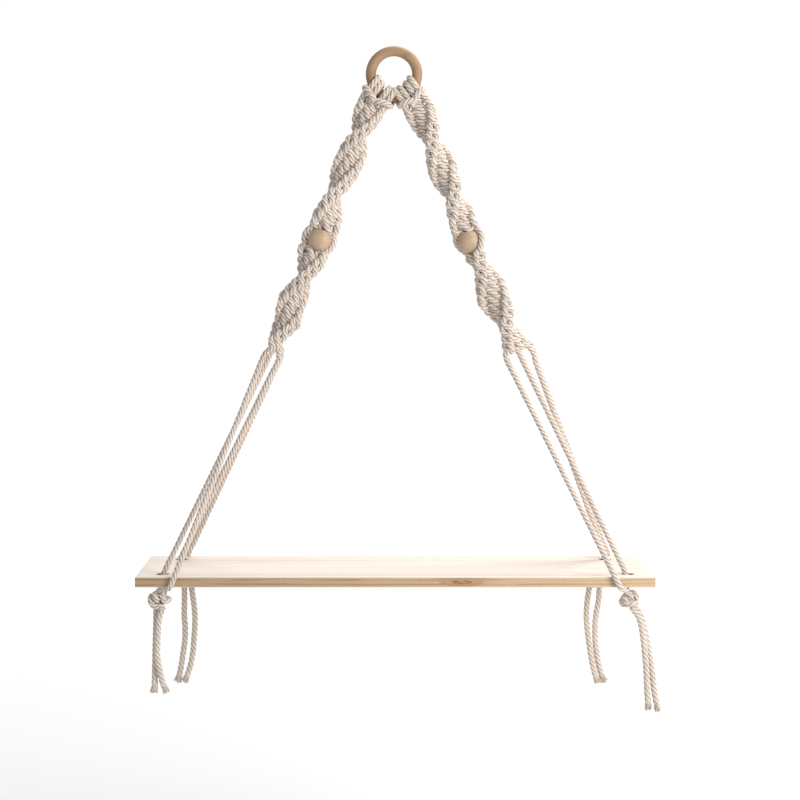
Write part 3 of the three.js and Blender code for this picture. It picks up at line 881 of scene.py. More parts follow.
@dataclass(frozen=True)
class WoodFinish:
    """Bare or thinly varnished pale wood, with its grain along the piece's own grain direction.

    The ring scale is how close the year rings are, the stretch how much longer than wide the grain is,
    the figure how strongly it shows, and the wander how far the rings bend.
    """

    name: str
    light: tuple
    dark: tuple
    ring_scale: float
    stretch: float
    roughness: float
    coat: float = 0.0
    coat_roughness: float = 0.3
    figure: float = 0.5
    wander: float = 9.0
    flecks: float = 0.5
    fleck_level: float = 0.45
    ring_slope: float = 0.8
    ring_range: tuple = (-0.2, 1.0)
    drift_scale: float = 22.0
    fade_scale: float = 61.0
    fade_range: tuple = (0.38, 0.62)
    pore_scale: float = 1500.0
    pore_stretch: float = 0.6
    pore_height: float = 0.7
    ring_height: float = 0.3
    bump: float = 0.16
    bump_height: float = 0.3 * MM

    def material(self) -> bpy.types.Material:
        """Builds the material.

        Returns:
            The material.
        """
        made, nodes, shader = new_material(self.name)
        grain = nodes.kept("wood_grain", "Vector")
        bands = self.bands(nodes, grain)
        fine = nodes.stretched(grain, self.stretch * self.pore_stretch)
        pores = nodes.noise(fine, self.pore_scale, 3.0)
        amount = nodes.times(nodes.math("POWER", bands, 2.0), self.figure)
        total = nodes.plus(amount, nodes.offset(pores, self.fleck_level, self.flecks))
        colour = self.dress(nodes, nodes.add("ShaderNodeClamp", {"Value": total}).outputs[0])
        nodes.fill(shader.inputs["Base Color"], colour)
        nodes.fill(shader.inputs["Roughness"], self.roughness)
        nodes.fill(shader.inputs["Coat Weight"], self.coat)
        nodes.fill(shader.inputs["Coat Roughness"], self.coat_roughness)
        pored = nodes.times(pores, self.pore_height)
        height = nodes.plus(pored, nodes.times(bands, self.ring_height))
        rise = {"Height": height, "Strength": self.bump, "Distance": self.bump_height}
        nodes.fill(shader.inputs["Normal"], nodes.add("ShaderNodeBump", rise).outputs[0])
        return made

    def bands(self, nodes: NodeTree, grain: bpy.types.NodeSocket) -> bpy.types.NodeSocket:
        """Gives the year rings: wandering bands of uneven width that fade in and out.

        Args:
            nodes: The material's nodes.
            grain: The place in the wood's own frame.

        Returns:
            How much of a band there is, from 0 to 1.
        """
        squeezed = nodes.stretched(grain, self.stretch)
        drift = nodes.noise(squeezed, self.drift_scale)
        across = nodes.plus(nodes.part(grain, "Y"), nodes.times(nodes.part(grain, "Z"), self.ring_slope))
        rings = nodes.times(across, self.ring_scale)
        wave = nodes.math("SINE", nodes.plus(rings, nodes.times(drift, self.wander)))
        strength = nodes.ramp(nodes.noise(squeezed, self.fade_scale, 3.0), self.fade_range)
        return nodes.times(nodes.ramp(wave, self.ring_range), strength)

    def dress(self, nodes: NodeTree, amount: bpy.types.NodeSocket) -> bpy.types.NodeSocket:
        """Gives the wood its colour, from the amount of dark grain."""
        return nodes.mix(amount, self.light, self.dark)


@dataclass(frozen=True)
class BoardFinish(WoodFinish):
    """The board's wood: tan on its sawn edges, with one small brown knot in the front edge.

    The tones are added to the dark grain at the board's left end and at its right end: on the edges they
    are painted shade, darker at the left end as if the light came from the right, and on the faces they
    darken the right end. The knot's reach counts in shares of its size from its middle.
    """

    edge_light: tuple = (0.61, 0.44, 0.275)
    edge_dark: tuple = (0.30, 0.18, 0.09)
    # painted shade: the near-black that the holes' walls are darkened to, over their darker end grain
    bore_shade_colour: tuple = (0.10, 0.055, 0.03)
    edge_lines: float = 2400.0
    edge_depth: float = 0.65
    edge_stretch: float = 0.07
    edge_drift_scale: float = 160.0
    edge_wander: float = 9.0
    edge_range: tuple = (-0.1, 1.0)
    edge_fade_stretch: float = 0.05
    edge_fade_scale: float = 420.0
    edge_fade: tuple = (0.35, 0.6)
    edge_fleck_scale: float = 900.0
    edge_fleck_level: float = 0.42
    edge_flecks: float = 0.9
    # painted shade: the edges' left end is darkened, as if the light came from the right
    edge_shade_tones: tuple = (0.33, -0.05)
    face_tones: tuple = (0.0, 0.13)
    tone_ends: tuple = (-0.17, 0.17)
    knot_place: tuple = (0.0448, -0.050, -0.3592)
    knot_size: tuple = (0.0125, 0.004, 0.0021)
    knot_colour: tuple = (0.27, 0.10, 0.03)
    knot_ovals: float = 9.0
    knot_stretch: float = 0.3
    knot_ragged: float = 900.0
    knot_dots: float = 1100.0
    knot_dot_share: float = 5.0
    knot_range: tuple = (-0.5, 1.0)
    knot_shown: tuple = (0.38, 1.0)
    knot_reach: tuple = (0.5, 1.5)
    knot_depth: tuple = (0.95, 0.0)
    knot_part: float = 0.8
    knot_part_base: float = 2.718
    knot_part_fall: float = -0.6

    def dress(self, nodes: NodeTree, amount: bpy.types.NodeSocket) -> bpy.types.NodeSocket:
        """Colours the faces, the edges, the holes' insides, which are darkened with painted shade, and the
        knot.

        Args:
            nodes: The material's nodes.
            amount: The amount of dark grain on the faces.

        Returns:
            The colour.
        """
        place = nodes.add("ShaderNodeTexCoord").outputs["Object"]
        face = nodes.mix(self.toned(nodes, place, amount, self.face_tones), self.light, self.dark)
        shares = nodes.vector("DIVIDE", nodes.vector("SUBTRACT", place, self.knot_place), self.knot_size)
        edge = nodes.mix(self.lines(nodes, place, shares), self.edge_light, self.edge_dark)
        colour = nodes.mix(nodes.kept("wood_edge", "Fac"), face, edge)
        # painted shade in the holes: their walls are darkened nearly to black
        colour = nodes.mix(nodes.kept("wood_bore", "Fac"), colour, self.bore_shade_colour)
        return nodes.mix(self.knot(nodes, place, shares), colour, self.knot_colour)

    def knot(
        self, nodes: NodeTree, place: bpy.types.NodeSocket, shares: bpy.types.NodeSocket
    ) -> bpy.types.NodeSocket:
        """Gives the knot in the front edge: ragged ovals, broken by dots, that fade outwards.

        Args:
            nodes: The material's nodes.
            place: The place on the board.
            shares: The place from the knot's middle, as shares of the knot's size.

        Returns:
            The amount of the knot's colour.
        """
        reach = nodes.vector("LENGTH", shares)
        long = nodes.stretched(place, self.knot_stretch)
        ragged = nodes.plus(reach, nodes.noise(long, self.knot_ragged))
        ovals = nodes.math("SINE", nodes.times(ragged, self.knot_ovals))
        dots = nodes.offset(nodes.noise(place, self.knot_dots, 1.0), 0.5, self.knot_dot_share)
        shown = nodes.ramp(nodes.plus(ovals, dots), self.knot_range, self.knot_shown)
        return nodes.times(nodes.ramp(reach, self.knot_reach, self.knot_depth), shown)

    def lines(
        self, nodes: NodeTree, place: bpy.types.NodeSocket, shares: bpy.types.NodeSocket
    ) -> bpy.types.NodeSocket:
        """Gives the long dark lines of a sawn edge, which part round the knot.

        Args:
            nodes: The material's nodes.
            place: The place on the board.
            shares: The place from the knot's middle, as shares of the knot's size.

        Returns:
            The amount of dark grain, with painted shade added towards the board's left end.
        """
        away = nodes.vector("SUBTRACT", place, self.knot_place)
        up = nodes.part(away, "Z")
        sideways = nodes.part(shares, "X")
        fall = nodes.times(nodes.math("POWER", sideways, 2.0), self.knot_part_fall)
        beside = nodes.times(nodes.math("POWER", self.knot_part_base, fall), self.knot_part)
        wide = nodes.plus(beside, 1.0)
        height = nodes.math("DIVIDE", nodes.times(up, self.edge_lines), wide)
        long = nodes.stretched(place, self.edge_stretch)
        drift = nodes.times(nodes.noise(long, self.edge_drift_scale, 1.0), self.edge_wander)
        rise = nodes.ramp(nodes.math("SINE", nodes.plus(height, drift)), self.edge_range)
        thin = nodes.stretched(place, self.edge_fade_stretch)
        shown = nodes.ramp(nodes.noise(thin, self.edge_fade_scale), self.edge_fade)
        lined = nodes.times(nodes.times(rise, shown), self.edge_depth)
        fleck = nodes.noise(place, self.edge_fleck_scale)
        flecked = nodes.offset(fleck, self.edge_fleck_level, self.edge_flecks)
        # painted shade: the edge grows darker towards the board's left end
        return self.toned(nodes, place, nodes.plus(lined, flecked), self.edge_shade_tones)

    def toned(
        self, nodes: NodeTree, place: bpy.types.NodeSocket, amount: bpy.types.NodeSocket, tones: tuple
    ) -> bpy.types.NodeSocket:
        """Shifts an amount of dark grain by a ramp from the board's left end to its right end; on the edges
        the ramp is painted shade.

        Args:
            nodes: The material's nodes.
            place: The place on the board.
            amount: The amount of dark grain.
            tones: What is added at the left end and at the right end.

        Returns:
            The shifted amount, from 0 to 1.
        """
        rightward = nodes.part(place, "X")
        tone = nodes.ramp(rightward, self.tone_ends, tones)
        return nodes.add("ShaderNodeClamp", {"Value": nodes.plus(amount, tone)}).outputs[0]


RING_WOOD = WoodFinish(
    "ring_wood", light=(0.40, 0.25, 0.143), dark=(0.25, 0.137, 0.07), ring_scale=620.0, stretch=0.12,
    roughness=0.6, figure=0.45,
)
BEAD_WOOD = WoodFinish(
    "bead_wood", light=(0.545, 0.394, 0.26), dark=(0.38, 0.247, 0.148), ring_scale=560.0, stretch=0.10,
    roughness=0.5, coat=0.08, figure=0.28,
)
BOARD_WOOD = BoardFinish(
    "board_wood", light=(0.83, 0.742, 0.655), dark=(0.62, 0.455, 0.36), ring_scale=300.0, stretch=0.04,
    roughness=0.62, figure=0.42, wander=16.0, flecks=0.35,
)


class ArmLine:
    """The straight line of one arm, with places measured along it, across it and towards the front."""

    def __init__(self, sizes: ArmSizes, ring: RingSizes, knots: HalfKnotSizes, bead: BeadSizes) -> None:
        """Works out the line and how the knotting turns along it.

        Args:
            sizes: The arm's own sizes.
            ring: The ring that it hangs from.
            knots: Its half knots.
            bead: Its bead.
        """
        self.sizes, self.ring, self.knots, self.bead = sizes, ring, knots, bead
        angle = math.radians(sizes.ring_angle)
        self.top = ring.centre + ring.radius * np.array([math.sin(angle), 0.0, -math.cos(angle)])
        self.foot = np.array([sizes.hand.value * sizes.foot_spread, 0.0, -sizes.foot_drop])
        self.along = (self.foot - self.top) / float(np.linalg.norm(self.foot - self.top))
        self.across = np.array([-self.along[2], 0.0, self.along[0]])
        self.front = np.array([0.0, -1.0, 0.0])
        pitch = knots.unit * knots.pitch
        half = bead.diameter / 2 + bead.side_room
        self.bead_top = sizes.bead_along - half
        self.bead_foot = sizes.bead_along + half
        self.knots_from = self.bead_top - sizes.upper_knots * pitch
        self.knots_to = self.bead_foot + sizes.lower_knots * pitch
        self.sways = np.array(sizes.sways, float) * MM
        self.turns = np.array(sizes.turns, float) * (MM, math.pi / 180)
        self.swells = np.array(sizes.swells, float) * (MM, 1.0)

    @staticmethod
    def eased(table: np.ndarray, along: np.ndarray) -> np.ndarray:
        """Reads a table of pairs between its rows."""
        return np.interp(along, table[:, 0], table[:, 1])

    def place(self, across: np.ndarray, off: np.ndarray, along: np.ndarray) -> np.ndarray:
        """Gives places beside the arm.

        Args:
            across: Distances across the flat of the knotting.
            off: Distances off that flat.
            along: Distances from the ring along the arm.

        Returns:
            The places, one row each.
        """
        across, off, along = np.broadcast_arrays(np.atleast_1d(across), off, along)
        turn = self.eased(self.turns, along)
        sideways = across * np.cos(turn) - off * np.sin(turn) + self.eased(self.sways, along)
        forward = across * np.sin(turn) + off * np.cos(turn)
        return (
            self.top
            + along[:, None] * self.along
            + sideways[:, None] * self.across
            + forward[:, None] * self.front
        )

    def half_knots(self, start: float, count: int, phase: int, seed: int) -> np.ndarray:
        """Gives one knotting cord's way through a run of half knots.

        Args:
            start: Where the run starts, along the arm.
            count: How many half knots it has.
            phase: 0 or 1, for the cord that starts on one side or the other.
            seed: Picks how the knots differ a little from each other.

        Returns:
            The points, one row each.
        """
        k = self.knots
        t = math.pi * np.arange(count * k.points + 1) / k.points
        swing = t + phase * math.pi
        uneven = np.random.default_rng(seed).normal(0.0, k.unevenness, count * 2 + 3)
        size = 1.0 + np.interp(t / math.pi * 2, np.arange(len(uneven)), uneven)
        across = (k.side * np.cos(swing) + k.side_third * np.cos(3 * swing)) * size
        off = k.lift * np.sin(swing) - k.lift_third * np.sin(3 * swing) + k.lift_fifth * np.sin(5 * swing)
        lead = k.lead * np.sin(2 * t) + k.lead_fourth * np.sin(4 * t)
        along = start + k.unit * (k.pitch * t / math.pi + lead)
        across *= self.eased(self.swells, along)
        return self.place(k.unit * across, k.unit * off, along)

    def round_bead(self, side: int) -> np.ndarray:
        """Gives a knotting cord's way past the bead.

        Args:
            side: 1 or -1, for the side that it passes on.

        Returns:
            The points, one row each.
        """
        reach = self.bead.diameter / 2 + self.bead.cord_room
        ahead = np.array(self.bead.cord_places) * (self.bead_foot - self.bead_top) / 2
        out = np.maximum(self.knots.side * self.knots.unit, np.sqrt(reach**2 - ahead**2))
        return self.place(side * out, 0.0, self.sizes.bead_along + ahead)

    def knotting_cord(self, phase: int) -> np.ndarray:
        """Gives the whole way of one knotting cord down the arm.

        Args:
            phase: 0 or 1, for the cord that starts on one side or the other.

        Returns:
            The points, one row each.
        """
        sizes = self.sizes
        side = 1 if phase == 0 else -1
        bead_side = side if sizes.upper_knots % 2 == 0 else -side
        seed = SEED + 10 * phase + 100 * sizes.hand.value + 200
        above = self.half_knots(self.knots_from, sizes.upper_knots, phase, seed)
        lower_phase = 0 if bead_side == 1 else 1
        below = self.half_knots(self.bead_foot, sizes.lower_knots, lower_phase, seed + 1)
        return np.vstack([above, self.round_bead(bead_side), below])

    def filler_cord(self, side: int) -> np.ndarray:
        """Gives the way of one of the two middle cords down the arm."""
        along = np.linspace(self.knots_from, self.knots_to, self.knots.filler_points)
        return self.place(side * self.knots.filler_side * self.knots.unit, 0.0, along)


@dataclass(frozen=True)
class HeadShares:
    """Places on a lark's head: legs as shares of the cord, the rest as shares of the wrap's radius.

    The lean is how far the arm's pull draws the head's outside towards the arm, and its inside away.
    The crossing is where, in degrees round the ring, a leg starts to move outwards, and for how long.
    """

    gap: float = 0.1 * MM
    lean: float = 0.45
    near: float = 0.5
    far: float = 1.2
    foot: tuple = (1.15, 1.33, -0.6)
    shoulder: tuple = (1.04, 1.05, -0.55)
    corner: tuple = (0.82, 0.98, -1.14)
    fold: tuple = (0.0, 0.92, -1.36)
    step: int = 30
    crossing: tuple = (170, 180)


class LarksHead:
    """The fold of one cord round the ring."""

    def __init__(self, arm: ArmLine, angle: float, rope: RopeSizes, shares: HeadShares) -> None:
        """Finds the head's place on the ring.

        Args:
            arm: The arm that it belongs to.
            angle: Its place round the ring, in degrees from the lowest point.
            rope: The rope's sizes.
            shares: Where the cord runs on the head.
        """
        turn = math.radians(angle)
        self.rope, self.shares = rope, shares
        self.out = np.array([math.sin(turn), 0.0, -math.cos(turn)])
        self.round = np.array([math.cos(turn), 0.0, math.sin(turn)])
        self.back = np.array([0.0, 1.0, 0.0])
        self.middle = arm.ring.centre + self.out * arm.ring.radius
        self.wrap = (arm.ring.section + rope.looped) / 2 + shares.gap
        self.lean = math.copysign(shares.lean * rope.looped, arm.sizes.ring_angle - angle)

    def place(self, w: float, q: float, y: float) -> np.ndarray:
        """Gives a place on the head: round the ring, out from it, and towards the back."""
        leant = w + self.lean * max(-1.0, min(1.0, q / self.wrap))
        return self.middle + self.round * leant + self.out * q + self.back * y

    def shared(self, leg: float, shares: tuple) -> np.ndarray:
        """Gives a place by shares of a leg's place and of the wrap."""
        return self.place(leg * shares[0], self.wrap * shares[1], self.wrap * shares[2])

    def leg(self, side: int) -> np.ndarray:
        """Gives one leg's way, from under the ring up its front, over, and down its back to the fold.

        Args:
            side: -1 for the left leg, 1 for the right one.

        Returns:
            The points, one row each.
        """
        shares = self.shares
        near, far = self.rope.looped * shares.near, self.rope.looped * shares.far
        points = [self.shared(side * near, shares.foot)]
        for degrees in range(shares.step, 361, shares.step):
            wrap = math.radians(-degrees)
            passed = min(1.0, max(0.0, (degrees - shares.crossing[0]) / shares.crossing[1]))
            w = near + (far - near) * passed * passed * (3 - 2 * passed)
            points.append(self.place(side * w, self.wrap * math.cos(wrap), self.wrap * math.sin(wrap)))
        points.append(self.shared(side * far, shares.shoulder))
        points.append(self.shared(side * far, shares.corner))
        return np.array(points)

    def loop(self) -> np.ndarray:
        """Gives the whole head: the left leg, the fold and the right leg."""
        fold = self.shared(0.0, self.shares.fold)
        return np.vstack([self.leg(-1), fold, self.leg(1)[::-1]])


@dataclass
class OverhandKnot:
    """Two cords tied together in one overhand knot, drawn tight step by step.

    The entries and exits are where the two cords come in at the top and leave below, and the turn is
    how far the knot is turned about the upright, in degrees. Each round shortens both cords a little,
    evens out their steps, smooths them, draws them to the middle and pushes them apart where they meet.
    """

    entries: np.ndarray
    exits: np.ndarray
    turn: float
    diameter: float
    count: int = 56
    reach: float = 2.08
    spread: tuple = (5.0, 3.6, 1.15)
    side_by_side: float = 0.55
    near_share: float = 1.25
    rounds: int = 1500
    least_step: float = 0.8 * MM
    shrink: float = 0.9975
    pinning_rounds: int = 150
    pinning_least: float = 0.02
    evening: float = 0.45
    smoothing: float = 0.12
    loose_rounds: int = 300
    pull: float = 0.008
    push: float = 0.22
    push_most: float = 0.4 * MM

    @property
    def middle(self) -> np.ndarray:
        """The knot's middle, between its entries and exits."""
        return (self.entries.mean(0) + self.exits.mean(0)) / 2

    def open_knot(self) -> np.ndarray:
        """Lays both cords in a wide open overhand knot, side by side.

        Returns:
            The two cords' points, from entry to exit.
        """
        t = np.linspace(-self.reach, self.reach, self.count)
        wide, deep, high = self.spread
        curve = [(t**3 - 3 * t) * wide, (t**4 - 4 * t**2 + 2.2) * deep, -(t**5 - 10 * t) * high]
        line = np.stack(curve, axis=1) * MM
        turn = math.radians(self.turn)
        cosine, sine = math.cos(turn), math.sin(turn)
        line = line @ np.array([[cosine, -sine, 0], [sine, cosine, 0], [0, 0, 1]]).T
        tangents, normals = carried_normals(line)
        sides = np.cross(tangents, normals)
        start = (self.entries[0] - self.entries[1]) / 2
        lean = math.atan2(start @ sides[0], start @ normals[0])
        away = (normals * math.cos(lean) + sides * math.sin(lean)) * self.diameter * self.side_by_side
        return np.stack([line + away, line - away]) + self.middle

    def kept_apart(self) -> np.ndarray:
        """Tells which points of the two cords may not come closer than the cords are thick.

        Returns:
            A square table of flags. Neighbours on one cord are left out.
        """
        index = np.arange(2 * self.count)
        same = (index[:, None] // self.count) == (index[None, :] // self.count)
        close = np.abs(index[:, None] - index[None, :]) < self.near_share * self.diameter / self.least_step
        return ~(same & close)

    def draw(self, cord: np.ndarray, length: float) -> None:
        """Evens out and smooths one cord in place.

        Args:
            cord: Its points.
            length: The length that each step should have.
        """
        for odd in (0, 1):
            a, b = cord[odd:-1:2], cord[odd + 1 :: 2]
            a, b = a[: len(b)], b[: len(a)]
            gap = b - a
            size = np.linalg.norm(gap, axis=1)[:, None]
            fix = gap * (1 - length / size) * self.evening
            a += fix
            b -= fix
        smooth = (cord[:-2] + cord[2:]) / 2 - cord[1:-1]
        cord[1:-1] += smooth * self.smoothing

    def part(self, flat: np.ndarray, apart: np.ndarray) -> None:
        """Pushes apart, in place, the points that are closer than the cords are thick.

        Args:
            flat: Both cords' points.
            apart: Which pairs of points may not meet.
        """
        gap = flat[:, None, :] - flat[None, :, :]
        size = np.linalg.norm(gap, axis=2) + TINY
        push = np.where(apart & (size < self.diameter), (self.diameter - size) / size, 0.0)
        move = (gap * push[:, :, None]).sum(1) * self.push
        reach = np.linalg.norm(move, axis=1)[:, None]
        flat += move * np.minimum(1.0, self.push_most / np.maximum(reach, TINY))

    def tighten(self) -> np.ndarray:
        """Draws the knot tight.

        Returns:
            The two cords' points, from entry to exit.
        """
        cords = self.open_knot()
        count, middle, apart = self.count, self.middle, self.kept_apart()
        flat = cords.reshape(-1, 3)
        places = (self.entries[0], self.exits[0], self.entries[1], self.exits[1])
        pinned = dict(zip((0, count - 1, count, 2 * count - 1), places))
        length = np.linalg.norm(np.diff(cords, axis=1), axis=2).mean()
        for step in range(self.rounds):
            length *= self.shrink if length > self.least_step else 1.0
            share = max(self.pinning_least, min(1.0, step / self.pinning_rounds))
            for node, place in pinned.items():
                flat[node] += (place - flat[node]) * share
            for first in (0, count):
                cord = flat[first : first + count]
                self.draw(cord, length)
                if step > self.loose_rounds:
                    cord[1:-1] += (middle - cord[1:-1]) * self.pull
            self.part(flat, apart)
        for node, place in pinned.items():
            flat[node] = place
        return flat.reshape(2, count, 3)


class Corner:
    """One corner of the board: where its two strands run, its knot and its two tails."""

    def __init__(self, sizes: CornerSizes, arm: ArmLine, board: BoardSizes, rope: RopeSizes) -> None:
        """Finds the knot's place and ties it.

        Args:
            sizes: The corner's own sizes.
            arm: The arm that its strands come from.
            board: The board.
            rope: The rope's sizes.
        """
        self.sizes, self.arm, self.board, self.rope = sizes, arm, board, rope
        x, y = self.from_end(sizes.knot), self.from_edge(sizes.knot_from_edge)
        self.knot = np.array([x, y, board.foot - sizes.knot_drop])
        half = rope.tied * sizes.knot_share
        face = sizes.face.value
        self.tails = [self.outside_knot(drop) for drop in (sizes.tail_a, sizes.tail_b)]
        self.entries = self.knot + np.array([[0.0, way * face * half, sizes.knot_reach] for way in (1, -1)])
        self.exits = np.array([tail[0] for tail in self.tails])
        self.tied = OverhandKnot(self.entries, self.exits, sizes.turn, rope.tied).tighten()

    def from_end(self, distance: float) -> float:
        """Gives X from a distance to the board's nearer end."""
        return self.sizes.hand.value * (self.board.length / 2 - distance)

    def from_edge(self, distance: float) -> float:
        """Gives Y from a distance to the board's nearer long edge."""
        return self.sizes.face.value * (self.board.depth / 2 - distance)

    def edge_strand(self) -> np.ndarray:
        """Runs the strand that goes round the board's long edge, from the arm's foot to the knot.

        Returns:
            The points, one row each.
        """
        sizes, board = self.sizes, self.board
        outside = self.from_edge(-(self.rope.taut / 2 + sizes.edge_gap))
        top, foot = self.from_end(sizes.edge_top), self.from_end(sizes.edge_foot)
        end = self.entries[0]
        lead = self.arm.foot + np.array(sizes.edge_lead) * MM
        over = np.array([[top, outside, board.top], [foot, outside, board.foot]])
        run = np.linspace(lead[-1], over[0], sizes.run_points)
        below = np.array([[(foot + end[0]) / 2, (outside + end[1]) / 2, board.foot - sizes.edge_sag]])
        return np.vstack([lead[:-1], run, over[1:], below])

    def hole_strand(self) -> np.ndarray:
        """Runs the strand that goes down through the hole, from the arm's foot to the knot.

        Returns:
            The points, one row each.
        """
        sizes, board = self.sizes, self.board
        front = sizes.face is Face.FRONT
        lead = self.arm.foot + np.array(sizes.hole_lead) * MM
        x = self.from_end(board.front_hole_from_end if front else board.back_hole_from_end) + sizes.lean
        y = self.from_edge(board.hole_from_edge)
        face, hand = sizes.face.value, sizes.hand.value
        half = board.thickness / 2
        end = self.entries[1]
        inward, backward, upward = sizes.mouth
        mouth = np.array([x - hand * half * inward, y - face * half * backward, board.top + half * upward])
        run = np.linspace(lead[-1], mouth, sizes.run_points)
        through = np.array([[x, y, board.top - half], [x, y + face * half * sizes.slant, board.foot]])
        below = np.array([[(x + end[0]) / 2, (y + end[1]) / 2, board.foot - sizes.hole_sag]])
        return np.vstack([lead[:-1], run, through, below])

    def outside_knot(self, drop: tuple) -> np.ndarray:
        """Runs a tail from where it leaves the knot, under its middle, to its end.

        Args:
            drop: The tail's places, in millimetres from the knot's middle.

        Returns:
            The points, one row each.
        """
        places = np.array(drop, float) * MM
        places = places[places[:, 2] <= -self.sizes.knot_reach]
        aside = float(np.linalg.norm(places[0, :2]))
        if aside > self.rope.tied:
            nearer = self.rope.tied / aside
            places = np.vstack([places[0] * (nearer, nearer, self.sizes.tail_slope), places])
        return self.knot + places


@dataclass(frozen=True)
class FraySizes:
    """The loose yarns at a tail's end.

    The pairs are ranges to pick from: how far a yarn ends past the rope's own end, as a share of the
    ragged length, and how wide it spreads, as a share of the spread. The tip is where a yarn grows
    thinner and how thin it gets. The cover is how much of the yarns the rope's own end leaves bare.
    """

    yarns: int = 34
    length: float = 7.5 * MM
    yarn: float = 0.72 * MM
    spread: float = 1.55
    ragged: float = 1.3 * MM
    steps: int = 13
    end_points: int = 6
    ragged_range: tuple = (-1.0, 0.35)
    spread_range: tuple = (0.6, 1.3)
    spread_curve: float = 2.2
    inset: float = 0.6
    twist: float = 0.55
    wander: float = 0.3
    tip: tuple = (0.97, 0.75)
    cover: float = 0.55

    def yarns_of(self, tail: Strand, lay: float, seed: int) -> list[Strand]:
        """Lets the yarns at a tail's end spread.

        Args:
            tail: The tail, with its free end last.
            lay: The length in which a ply goes once round.
            seed: Picks how the yarns differ.

        Returns:
            One thin strand for each yarn.
        """
        chance = np.random.default_rng(seed)
        end = tail.line[-1]
        tangent = unit(tail.line[-1] - tail.line[-self.end_points])
        normal = unit(tail.normals[-1] - tangent * (tail.normals[-1] @ tangent))
        side = np.cross(tangent, normal)
        radius = tail.radii[-1] - self.yarn * self.inset
        golden = math.pi * (3 - math.sqrt(5))
        yarns = []
        for i in range(self.yarns):
            reach = radius * math.sqrt((i + 0.5) / self.yarns)
            ragged = chance.uniform(*self.ragged_range) * self.ragged
            along = np.linspace(-self.length, ragged, self.steps)
            share = (along + self.length) / self.length
            spread = self.spread * chance.uniform(*self.spread_range) - 1
            wide = reach * (1 + spread * share**self.spread_curve)
            wander = chance.uniform(-self.wander, self.wander)
            turn = golden * i + self.twist * 2 * math.pi * along / lay + wander * share**2
            line = (
                end
                + along[:, None] * tangent
                + (wide * np.cos(turn))[:, None] * normal
                + (wide * np.sin(turn))[:, None] * side
            )
            thick = self.yarn / 2 * np.where(share > self.tip[0], self.tip[1], 1.0)
            yarns.append(Strand(line, carried_normals(line)[1], thick, tail.along[-1] + along))
        return yarns


